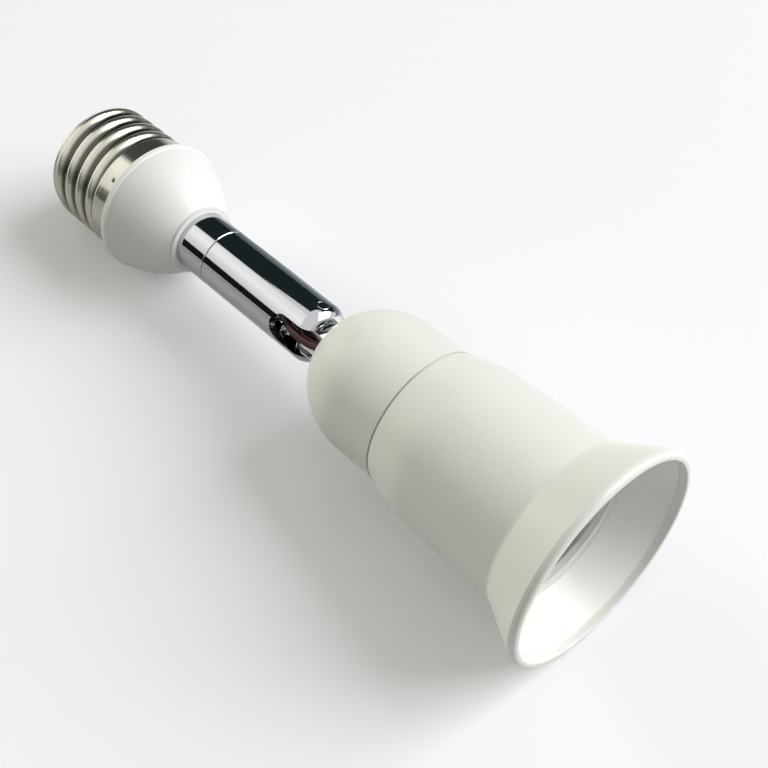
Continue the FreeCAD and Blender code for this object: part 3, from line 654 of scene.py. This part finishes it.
def turned_mesh(
    name: str,
    rows: Sequence[float],
    radius: Callable[[float, float], float],
    edge: Sequence[Ring],
    segments: int,
    outwards: bool = True,
) -> bpy.types.Object:
    """Build a closed skin round the Z axis.

    Args:
        name: Name of the piece.
        rows: Heights of the shaped rows, in millimetres and in order.
        radius: Radius in millimetres for a height and an angle.
        edge: Radius and height of each plain ring that closes the skin, from the last row
            back to the first.
        segments: Number of steps round the axis.
        outwards: True where the shaped rows face away from the axis.

    Returns:
        The new object, in metres.
    """
    shape = bmesh.new()
    angles = [2.0 * math.pi * step / segments for step in range(segments)]
    levels = [(height, [radius(height, angle) for angle in angles]) for height in rows]
    levels += [(height, [reach] * segments) for reach, height in edge]
    rings = []
    for height, reaches in levels:
        ring = []
        for reach, angle in zip(reaches, angles):
            x, y = reach * math.cos(angle) * MM, reach * math.sin(angle) * MM
            ring.append(shape.verts.new((x, y, height * MM)))
        rings.append(ring)
    for low, high in zip(rings, rings[1:] + rings[:1]):
        for step in range(segments):
            after = (step + 1) % segments
            face = [low[step], low[after], high[after], high[step]]
            shape.faces.new(face if outwards else face[::-1])
    mesh = bpy.data.meshes.new(name)
    shape.to_mesh(mesh)
    shape.free()
    return add_object(name, mesh)


def mark(piece: bpy.types.Object, name: str, share: Callable[[float, float], float]) -> None:
    """Write down on a skin how much of an effect each of its points has.

    Args:
        piece: The skin, round the Z axis.
        name: Name of the effect.
        share: Share from 0 to 1 for a radius and a height in millimetres.
    """
    layer = piece.data.attributes.new(name, "FLOAT", "POINT")
    for value, point in zip(layer.data, piece.data.vertices):
        place = point.co / MM
        value.value = share(math.hypot(place.x, place.y), place.z)


def smooth(mesh: bpy.types.Mesh) -> None:
    """Shade every face of a mesh smooth."""
    mesh.polygons.foreach_set("use_smooth", [True] * len(mesh.polygons))


def soften(piece: bpy.types.Object, crease: float = 32.0) -> None:
    """Shade a piece smooth, with sharp edges kept.

    Args:
        piece: The piece.
        crease: Angle in degrees above which an edge stays sharp.
    """
    smooth(piece.data)
    split = piece.modifiers.new("sharp_edges", "EDGE_SPLIT")
    split.split_angle = math.radians(crease)


def ease_edges(
    piece: bpy.types.Object, width: float, corner: float = 60.0, join: float = 0.001
) -> None:
    """Give a piece of the frame narrow chamfers that catch the light.

    Args:
        piece: The piece.
        width: Width of a chamfer in millimetres.
        corner: Angle in degrees above which an edge gets a chamfer.
        join: Distance in millimetres within which points are made one first.
    """
    joined = piece.modifiers.new("joined_points", "WELD")
    joined.merge_threshold = join * MM
    chamfer = piece.modifiers.new("eased_edges", "BEVEL")
    chamfer.width = width * MM
    chamfer.limit_method = "ANGLE"
    chamfer.angle_limit = math.radians(corner)


class SubAssembly:
    """Pieces of the adapter that are dressed together."""

    def __init__(self, finishes: Finishes) -> None:
        """Keep the finishes of the adapter."""
        self.finishes = finishes

    def dress(self, names: Iterable[str], slot: Slot) -> None:
        """Give pieces of the frame their finish.

        Args:
            names: Names of the pieces.
            slot: Slot whose finish they get.
        """
        for name in names:
            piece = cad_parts[name]
            for place in piece.material_slots:
                place.material = self.finishes.get(slot)
            soften(piece)
            LOG.info("dressed %s as %s", name, slot.value)

    def put(self, piece: bpy.types.Object, body: str, slot: Slot, *nodes: str) -> None:
        """Dress a new piece and let it ride on its body in place of nodes of the frame.

        Args:
            piece: The new piece.
            body: Body that it rides on.
            slot: Slot whose finish it gets.
            *nodes: Nodes of the frame that it replaces.
        """
        piece.data.materials.append(self.finishes.get(slot))
        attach(piece, body)
        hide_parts(*nodes)
        LOG.info("built %s with %d faces", piece.name, len(piece.data.polygons))


@dataclass
class CapSizes:
    """Sizes of the screw cap, from the socket's mouth up.

    A crest of the thread has crest_height where the bearing is crest_angle degrees before the
    X axis. A pair of heights, radii or depths says where an effect sets in and where it is full.
    """

    foot: float = 122.2
    skirt_end: float = 127.1
    thread_end: float = 141.6
    top: float = 142.9
    skirt: float = 13.1
    skirt_top: float = 126.7
    skirt_fall: tuple[float, float] = (126.75, 128.0)
    skirt_drop: float = 1.6
    skirt_blend: float = 0.12
    dulled: tuple[float, float] = (126.8, 127.9)
    # Radius and depth over which the painted shade in the grooves and the stake dimples sets in
    groove_shade: tuple[float, float] = (12.75, 12.22)
    stake_shade: tuple[float, float] = (0.05, 0.266)
    crest: float = 13.05
    root: float = 12.12
    crest_height: float = 129.36
    crest_angle: float = 50.0
    end: float = 10.4
    end_flat: float = 10.05
    hole: float = 8.0
    hole_edge: tuple[Ring, ...] = ((8.1, 142.88), (8.0, 142.78))
    sheet: float = 0.45
    foot_round: float = 0.25
    foot_drop: float = 0.12
    shoulder: float = 2.6
    shoulder_blend: float = 0.25
    inner: float = 11.6
    stake_angle: float = -57.5
    stakes: int = 4
    stake_height: float = 123.9
    stake: float = 0.62
    stake_depth: float = 0.38
    row_step: float = 0.16
    segments: int = 320
    crease: float = 50.0


class ScrewCap(SubAssembly):
    """Threaded cap with its glass insulator and contact."""

    sizes = CapSizes()
    thread = RolledThread(
        sizes.crest,
        sizes.root,
        sizes.crest_height + RolledThread.pitch * sizes.crest_angle / 360.0,
    )

    def _radius(self, height: float, angle: float) -> float:
        """Outer radius of the cap.

        Args:
            height: Height in millimetres.
            angle: Angle round the axis in radians.

        Returns:
            The radius in millimetres.
        """
        s = self.sizes
        skirt = s.skirt - s.skirt_drop * smooth_step(*s.skirt_fall, height)
        reach = soft_limit(self.thread.radius(height, angle), skirt, s.skirt_blend, True)
        rise = min(1.0, max(0.0, (height - (s.top - s.shoulder)) / s.shoulder))
        dome = s.end + (s.skirt - s.end) * math.sqrt(max(0.0, 1.0 - rise * rise))
        reach = soft_limit(reach, dome, s.shoulder_blend, False)
        reach -= self._foot(height)
        for stake in range(s.stakes):
            centre = math.radians(s.stake_angle) + 2.0 * math.pi * stake / s.stakes
            swing = (angle - centre + math.pi) % (2.0 * math.pi) - math.pi
            away = math.hypot(swing * s.skirt, height - s.stake_height)
            if away < s.stake:
                reach -= s.stake_depth * (1.0 - smooth_step(0.0, s.stake, away))
        return reach

    def _foot(self, height: float) -> float:
        """Give how far the skin is drawn in at its foot, in millimetres."""
        s = self.sizes
        return s.foot_drop * smooth_step(s.foot + s.foot_round, s.foot, height)

    def _rolled(self, _: float, height: float) -> float:
        """Give the share of rolled, duller surface, from 0 on the skirt to 1 on the thread."""
        return smooth_step(*self.sizes.dulled, height)

    def _painted_groove_shade(self, reach: float, height: float) -> float:
        """Share of the painted shade in the grooves and the stakes at one place of the skin.

        Args:
            reach: Radius in millimetres.
            height: Height in millimetres.

        Returns:
            A number from 0 on the crests and the skirt to 1 in the grooves and the stakes.
        """
        s = self.sizes
        if height < s.skirt_top:
            depth = s.skirt - self._foot(height) - reach
            return smooth_step(*s.stake_shade, depth)
        if height > s.thread_end:
            return 0.0
        return smooth_step(*s.groove_shade, reach)

    def build(self) -> None:
        """Build the threaded skin and dress the insulator and the contact."""
        s = self.sizes
        count = int((s.top - s.foot) / s.row_step)
        rows = [s.foot + (s.top - s.foot) * step / count for step in range(count + 1)]
        edge = [
            (s.end_flat, s.top),
            *s.hole_edge,
            (s.hole, s.top - s.sheet),
            (s.end - s.sheet, s.top - s.sheet),
            (s.inner, s.thread_end - s.sheet),
            (s.inner, s.skirt_end),
            (s.skirt - s.sheet, s.skirt_end - s.sheet),
            (s.skirt - s.sheet, s.foot),
        ]
        skin = turned_mesh("cap_thread_skin", rows, self._radius, edge, s.segments)
        # Mark where painted shade darkens the grooves and the stakes
        mark(skin, GROOVE_SHADE_MASK, self._painted_groove_shade)
        mark(skin, ROLLED, self._rolled)
        soften(skin, s.crease)
        self.put(skin, "base", Slot.NICKEL, "cap_shell")
        self.dress(["cap_insulator"], Slot.GLASS)
        self.dress(["tip_contact"], Slot.NICKEL)


@dataclass
class BaseSizes:
    """Sizes of the base."""

    stub_chamfer: float = 0.13


class Base(SubAssembly):
    """White base between the cap and the stem, with the parts hidden in it."""

    sizes = BaseSizes()

    def build(self) -> None:
        """Dress the base and what it holds. The foot of the stub has an eased edge."""
        ease_edges(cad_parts["base_stub"], self.sizes.stub_chamfer)
        self.dress(["base_shell"], Slot.BASE_WHITE)
        self.dress(["base_stub"], Slot.CHROME)
        self.dress(["stub_washer", "stub_lock_nut", "swivel_washer"], Slot.STEEL)


class Stem(SubAssembly):
    """Chrome tube with its fork, its swivel and its cross pin."""

    def build(self) -> None:
        """Dress the tube and the small parts on it."""
        self.dress(["stem_tube", "pivot_pin"], Slot.CHROME)
        self.dress(["stop_pin", "swivel_clip", "swivel_spring"], Slot.STEEL)
        self.dress(["friction_ring_left", "friction_ring_right"], Slot.NYLON)


@dataclass
class WireSizes:
    """Sizes of a wire, its route and the heights between which it bends with the elbow.

    sides is the bevel resolution of its tube, and order and steps are those of its route.
    stem holds the distance from the axis and the height of each place along the stem.
    """

    radius: float = 0.9
    bend_low: float = 62.0
    bend_high: float = 80.0
    sides: int = 5
    order: int = 3
    steps: int = 12
    live_foot: tuple[Place, ...] = ((2.25, -8.1, 37.0), (2.25, -3.6, 37.0), (2.25, -3.6, 44.5))
    neutral_foot: tuple[Place, ...] = ((-2.25, 6.2, 37.0), (-2.25, 1.7, 37.0), (-2.25, 1.7, 44.5))
    stem: tuple[Ring, ...] = (
        (1.2, 53.0), (1.2, 66.4), (4.15, 68.8), (4.15, 75.2), (1.2, 78.6), (1.2, 122.55)
    )
    live_top: tuple[Place, ...] = ((0.0, 0.0, 129.0), (0.0, 0.0, 144.15))
    neutral_top: tuple[Place, ...] = ((0.0, 8.9, 129.0), (0.0, 10.7, 134.0))


class Wires(SubAssembly):
    """Two insulated wires from the cap to the contacts, which bend at the elbow."""

    sizes = WireSizes()

    def _sleeve(self, name: str, points: Sequence[Place]) -> bpy.types.Object:
        """Build one wire as a smooth tube along its route.

        Args:
            name: Name of the piece.
            points: Route in millimetres.

        Returns:
            The new mesh object.
        """
        s = self.sizes
        curve = bpy.data.curves.new(name + "_route", "CURVE")
        curve.dimensions = "3D"
        spline = curve.splines.new("NURBS")
        spline.points.add(len(points) - 1)
        for point, place in zip(spline.points, points):
            point.co = (*(part * MM for part in place), 1.0)
        spline.order_u = s.order
        spline.use_endpoint_u = True
        spline.resolution_u = s.steps
        curve.bevel_depth = s.radius * MM
        curve.bevel_resolution = s.sides
        curve.use_fill_caps = True
        route = bpy.data.objects.new(name + "_route", curve)
        mesh = bpy.data.meshes.new_from_object(route)
        bpy.data.objects.remove(route)
        mesh.name = name
        smooth(mesh)
        return add_object(name, mesh)

    def build(self) -> None:
        """Build both wires."""
        s = self.sizes
        for name, node, slot, foot, side, top in (
            ("live_sleeve", "live_wire", Slot.WIRE_BROWN, s.live_foot, -1.0, s.live_top),
            ("neutral_sleeve", "neutral_wire", Slot.WIRE_BLUE, s.neutral_foot, 1.0, s.neutral_top),
        ):
            stem = ((0.0, side * away, height) for away, height in s.stem)
            sleeve = self._sleeve(name, (*foot, *stem, *top))
            sleeve.data.materials.append(self.finishes.get(slot))
            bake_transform(sleeve)
            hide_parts(node)
            LOG.info("built %s", name)


@dataclass
class ShellSizes:
    """Sizes of the screw shell in the socket, from the mouth up.

    Its crests point to the axis, so the root has the larger radius. The thread rises and runs
    out between the two heights of thread_start and of thread_end.
    """

    front: float = 10.7
    back: float = 30.4
    outer: float = 13.8
    root: float = 13.35
    crest: float = 12.25
    hole: float = 6.4
    sheet: float = 0.45
    crest_height: float = 15.2
    thread_start: tuple[float, float] = (13.2, 15.2)
    thread_end: tuple[float, float] = (27.0, 28.4)
    lip: float = 0.1
    row_step: float = 0.2
    segments: int = 256
    crease: float = 50.0


class LampSocket(SubAssembly):
    """White socket with its rear cover, its knuckle and the contacts inside."""

    sizes = ShellSizes()
    thread = RolledThread(sizes.root, sizes.crest, sizes.crest_height)

    def _radius(self, height: float, angle: float) -> float:
        """Inner radius of the screw shell.

        Args:
            height: Height in millimetres.
            angle: Angle round the axis in radians.

        Returns:
            The radius in millimetres.
        """
        s = self.sizes
        share = smooth_step(*s.thread_start, height)
        share *= 1.0 - smooth_step(*s.thread_end, height)
        return s.root + (self.thread.radius(height, angle) - s.root) * share

    def build(self) -> None:
        """Build the threaded shell and dress the socket and its parts."""
        s = self.sizes
        span = s.back - s.sheet - s.front
        count = int(span / s.row_step)
        rows = [s.front + span * step / count for step in range(count + 1)]
        edge = [
            (s.hole, s.back - s.sheet),
            (s.hole, s.back),
            (s.outer, s.back),
            (s.outer, s.front + s.lip),
            (s.outer - s.lip, s.front),
        ]
        skin = turned_mesh("lamp_thread_skin", rows, self._radius, edge, s.segments, False)
        soften(skin, s.crease)
        self.put(skin, "head", Slot.SHELL, "screw_shell")
        self.dress(["socket_body", "rear_cover"], Slot.SOCKET_WHITE)
        self.dress(["knuckle"], Slot.CHROME)
        self.dress(["contact_block"], Slot.CERAMIC)
        self.dress(
            ["centre_contact", "live_plate", "neutral_plate", "live_rivet", "neutral_rivet"],
            Slot.BRASS,
        )
        self.dress(["neck_washer", "neck_lock_nut"], Slot.STEEL)
        self.dress(["live_terminal_screw", "neutral_terminal_screw"], Slot.STEEL)
        self.dress(["block_screw_left", "block_screw_right"], Slot.STEEL)


@dataclass(frozen=True)
class Card:
    """A card that only shows in polished surfaces, as a painted reflection of the dark and pale
    parts of a room.

    Args:
        name: Name of the card.
        span: First and last place across the card: bearings from the far side, to the right,
            in degrees, for a standing card, or places to the right in millimetres.
        rows: Place and brightness of each row: an angle above the table in degrees for a
            standing card, or a place on the far side in millimetres.
        tint: Red, green and blue of a brightness of 1.
        lying: True for a card that lies just over the table and paints a darker reflection of it.
        sheer: True for a card that dims the reflection of what is under it instead of hiding it.
    """

    name: str
    span: tuple[float, float]
    rows: tuple[tuple[float, float], ...]
    tint: Colour = (1.0, 1.0, 1.0)
    lying: bool = False
    sheer: bool = False


@dataclass(frozen=True)
class Lamp:
    """A soft square lamp that looks at the adapter.

    Args:
        name: Name of the lamp.
        bearing: Bearing from the far side, to the right, in degrees.
        rise: Angle above the table in degrees.
        distance: Distance from the adapter in metres.
        width: Width and height in metres.
        power: Power in watts.
        colour: Colour of the light.
        mirrored: True for a lamp that shows in polished surfaces.
    """

    name: str
    bearing: float
    rise: float
    distance: float
    width: float
    power: float
    colour: Colour
    mirrored: bool


@dataclass
class StudioSizes:
    """Places of the camera, the table, the lamps and the cards, in the adapter's own frame.

    right and up are directions of the picture, and table points straight up from the table.
    The width of the table, the reach of the standing cards and the nearest place that the
    camera shows are in metres. The other lengths are in millimetres.
    """

    eye: Place = (133.98, -159.16, -62.10)
    right: Place = (0.2344, 0.6916, -0.6833)
    up: Place = (0.7933, 0.2703, 0.5458)
    lens: float = 60.94
    film: float = 36.0
    nearest: float = 0.01
    table: Place = (0.924, -0.377, -0.064)
    rim: float = 22.0
    table_width: float = 3.0
    table_roughness: float = 0.3
    table_seen: Colour = (0.83, 0.835, 0.875)
    table_unseen: Colour = (0.45, 0.45, 0.44)
    table_lift: float = 0.1
    room_light: float = 0.31
    room_seen: Colour = (0.97, 0.98, 1.0)
    room_unseen: Colour = (1.0, 0.99, 0.89)
    middle: Place = (0.0, 0.0, 70.0)
    card_reach: float = 1.2
    card_height: float = 1.0
    card_steps: int = 16
    lamps: tuple[Lamp, ...] = (
        Lamp("key", 82.0, 37.0, 1.8, 1.4, 37.0, (1.0, 1.0, 1.0), True),
        Lamp("fill", -52.0, 10.0, 1.2, 0.35, 8.8, (1.0, 0.97, 0.86), False),
    )
    cards: tuple[Card, ...] = (
        Card("far_flag", (-40.0, 60.0), ((-0.6, 0.02), (50.0, 0.02)), (0.85, 1.3, 1.45)),
        Card(
            "back_flag",
            (-180.0, -106.0),
            ((-4.0, 0.08), (10.0, 0.14), (20.0, 0.4), (32.0, 0.85)),
        ),
        Card("left_flag", (-106.0, -84.0), ((-4.0, 0.02), (9.0, 0.01), (18.0, 0.02))),
        Card("low_window", (-84.0, -61.0), ((-3.0, 0.85), (8.0, 1.1), (18.0, 1.25))),
        Card("low_pane", (-61.0, -42.0), ((-3.0, 1.45), (8.0, 1.45), (18.0, 1.25))),
        Card("window", (-98.0, -45.0), ((18.0, 1.0), (30.0, 1.15), (41.0, 1.45), (55.0, 1.2))),
        # Painted reflection: a dark sheet over the table and a sheer one that dims the table's
        # reflection
        Card(
            "far_table_reflection",
            (-62.0, 260.0),
            ((84.0, 0.5), (108.0, 0.44), (132.0, 0.28), (212.0, 0.16), (700.0, 0.05)),
            (0.86, 1.0, 1.1),
            lying=True,
        ),
        Card("left_table_reflection_dimmer", (-400.0, -50.0), ((-60.0, 0.62), (122.0, 0.62)), lying=True, sheer=True),
    )


class Studio:
    """Table, cards, lamps, backdrop and camera."""

    sizes = StudioSizes()

    def __init__(self) -> None:
        """Work out the directions of the table."""
        s = self.sizes
        self.scene = bpy.context.scene
        self.up = Vector(s.table).normalized()
        self.right = (Vector(s.right) - Vector(s.right).dot(self.up) * self.up).normalized()
        self.far = self.up.cross(self.right)
        self.middle = Vector(s.middle) * MM
        self.touch = -Vector((self.up.x, self.up.y, 0.0)).normalized() * s.rim * MM

    def _on_table(self, right: float, far: float, up: float = 0.0) -> Vector:
        """Give the place that lies so many metres from where the rim touches the table."""
        return self.touch + right * self.right + far * self.far + up * self.up

    def _towards(self, bearing: float, rise: float) -> Vector:
        """Turn a bearing and an angle above the table into a direction of the frame.

        Args:
            bearing: Bearing from the far side, to the right, in degrees.
            rise: Angle above the table in degrees.

        Returns:
            The direction, of length 1.
        """
        turn, lift = math.radians(bearing), math.radians(rise)
        flat = math.sin(turn) * self.right + math.cos(turn) * self.far
        return flat * math.cos(lift) + math.sin(lift) * self.up

    @staticmethod
    def _seen(tree: Tree) -> Socket:
        """Tell the rays that show a surface from those that only carry light.

        Args:
            tree: Tree of a material or of the world.

        Returns:
            A socket that is 1 for camera, mirror and transmitted rays and 0 for the rest.
        """
        ray = tree.nodes.new("ShaderNodeLightPath")
        shown = ray.outputs["Is Camera Ray"]
        for kind in ("Is Glossy Ray", "Is Transmission Ray"):
            shown = calculate(tree, "MAXIMUM", shown, ray.outputs[kind])
        return shown

    @staticmethod
    def _one_sided(tree: Tree, shader: Socket) -> None:
        """Let a sheet show from the side that it faces, and be clear from behind.

        Args:
            tree: Tree of the material.
            shader: Socket of the front's shader.
        """
        clear = tree.nodes.new("ShaderNodeBsdfTransparent")
        side = tree.nodes.new("ShaderNodeNewGeometry")
        mix = tree.nodes.new("ShaderNodeMixShader")
        tree.links.new(side.outputs["Backfacing"], mix.inputs[0])
        tree.links.new(shader, mix.inputs[1])
        tree.links.new(clear.outputs[0], mix.inputs[2])
        tree.links.new(mix.outputs[0], tree.nodes["Material Output"].inputs["Surface"])

    def table(self) -> None:
        """Make the pale glossy table that the adapter lies on."""
        s = self.sizes
        size = s.table_width / 2.0
        corners = [
            self._on_table(x * size, y * size) for x, y in ((-1, -1), (1, -1), (1, 1), (-1, 1))
        ]
        mesh = bpy.data.meshes.new("table")
        mesh.from_pydata(corners, [], [(0, 1, 2, 3)])
        table = add_object("table", mesh)
        material = bpy.data.materials.new("table_pale_gloss")
        material.use_nodes = True
        tree = material.node_tree
        shader = tree.nodes["Principled BSDF"]
        shader.inputs["Roughness"].default_value = s.table_roughness
        shader.inputs["Emission Color"].default_value = (1.0, 1.0, 1.0, 1.0)
        seen = self._seen(tree)
        colour = mix_colours(tree, seen, s.table_unseen, s.table_seen)
        tree.links.new(colour, shader.inputs["Base Color"])
        lift = calculate(tree, "MULTIPLY", seen, s.table_lift)
        tree.links.new(lift, shader.inputs["Emission Strength"])
        self._one_sided(tree, shader.outputs[0])
        mesh.materials.append(material)

    def lamp(self, lamp: Lamp) -> None:
        """Hang one lamp.

        Args:
            lamp: The lamp.
        """
        light = bpy.data.lights.new(lamp.name, "AREA")
        light.shape = "SQUARE"
        light.size = lamp.width
        light.energy = lamp.power
        light.color = lamp.colour
        hung = add_object(lamp.name, light)
        place = self._towards(lamp.bearing, lamp.rise)
        hung.location = self.middle + place * lamp.distance
        hung.rotation_mode = "QUATERNION"
        hung.rotation_quaternion = (-place).to_track_quat("-Z", "Y")
        hung.visible_camera = False
        hung.visible_glossy = lamp.mirrored

    def _card_mesh(self, card: Card) -> bpy.types.Mesh:
        """Build the sheet of a card, with its brightness on its points.

        Args:
            card: The card.

        Returns:
            The mesh.
        """
        s = self.sizes
        corners, faces, levels = [], [], []
        for step in range(s.card_steps + 1):
            across = card.span[0] + (card.span[1] - card.span[0]) * step / s.card_steps
            for place, level in card.rows:
                if card.lying:
                    corners.append(self._on_table(across * MM, place * MM, s.card_height * MM))
                else:
                    corners.append(self.middle + self._towards(across, place) * s.card_reach)
                levels.append(level)
        rows = len(card.rows)
        for step in range(s.card_steps):
            for row in range(rows - 1):
                first = step * rows + row
                faces.append((first, first + rows, first + rows + 1, first + 1))
        mesh = bpy.data.meshes.new(card.name)
        mesh.from_pydata(corners, [], faces)
        layer = mesh.attributes.new(BRIGHTNESS, "FLOAT_COLOR", "POINT")
        for value, level in zip(layer.data, levels):
            value.color = (*(part * level for part in card.tint), 1.0)
        return mesh

    def card(self, card: Card) -> None:
        """Put up one card.

        Args:
            card: The card.
        """
        mesh = self._card_mesh(card)
        material = bpy.data.materials.new(card.name)
        material.use_nodes = True
        tree = material.node_tree
        tree.nodes.remove(tree.nodes["Principled BSDF"])
        light = read_attribute(tree, BRIGHTNESS).outputs["Color"]
        kind = "ShaderNodeBsdfTransparent" if card.sheer else "ShaderNodeEmission"
        sheet = tree.nodes.new(kind)
        tree.links.new(light, sheet.inputs["Color"])
        if card.lying:
            self._one_sided(tree, sheet.outputs[0])
        else:
            tree.links.new(sheet.outputs[0], tree.nodes["Material Output"].inputs["Surface"])
        mesh.materials.append(material)
        put = add_object(card.name, mesh)
        put.visible_camera = False
        put.visible_diffuse = False
        put.visible_shadow = False
        put.visible_transmission = False

    def backdrop(self) -> None:
        """Light the room round the table evenly, and show it white."""
        s = self.sizes
        world = bpy.data.worlds.new("pale_room")
        self.scene.world = world
        world.use_nodes = True
        tree = world.node_tree
        glow = tree.nodes["Background"]
        seen = self._seen(tree)
        colour = mix_colours(tree, seen, s.room_unseen, s.room_seen)
        tree.links.new(colour, glow.inputs["Color"])
        level = tree.nodes.new("ShaderNodeMapRange")
        level.inputs["To Min"].default_value = s.room_light
        level.inputs["To Max"].default_value = 1.0
        tree.links.new(seen, level.inputs["Value"])
        tree.links.new(level.outputs[0], glow.inputs["Strength"])

    def camera(self) -> None:
        """Put the camera where the photograph was taken from."""
        s = self.sizes
        data = bpy.data.cameras.new("camera")
        data.lens = s.lens
        data.sensor_width = s.film
        data.clip_start = s.nearest
        camera = add_object("camera", data)
        right, up = Vector(s.right).normalized(), Vector(s.up)
        up = (up - up.dot(right) * right).normalized()
        back = right.cross(up)
        turn = Matrix((right, up, back)).transposed().to_4x4()
        camera.matrix_world = Matrix.Translation(Vector(s.eye) * MM) @ turn
        self.scene.camera = camera
        self.scene.view_settings.view_transform = "Standard"

    def build(self) -> None:
        """Set up the whole studio."""
        self.table()
        self.backdrop()
        for lamp in self.sizes.lamps:
            self.lamp(lamp)
        for card in self.sizes.cards:
            self.card(card)
        self.camera()
        LOG.info("set up the studio")


def main() -> None:
    """Build every sub-assembly and the studio."""
    logging.basicConfig(level=logging.INFO, format="%(message)s")
    finishes = Finishes()
    for part in (ScrewCap, Base, Stem, Wires, LampSocket):
        part(finishes).build()
    Studio().build()


if __name__ == "__main__":
    main()
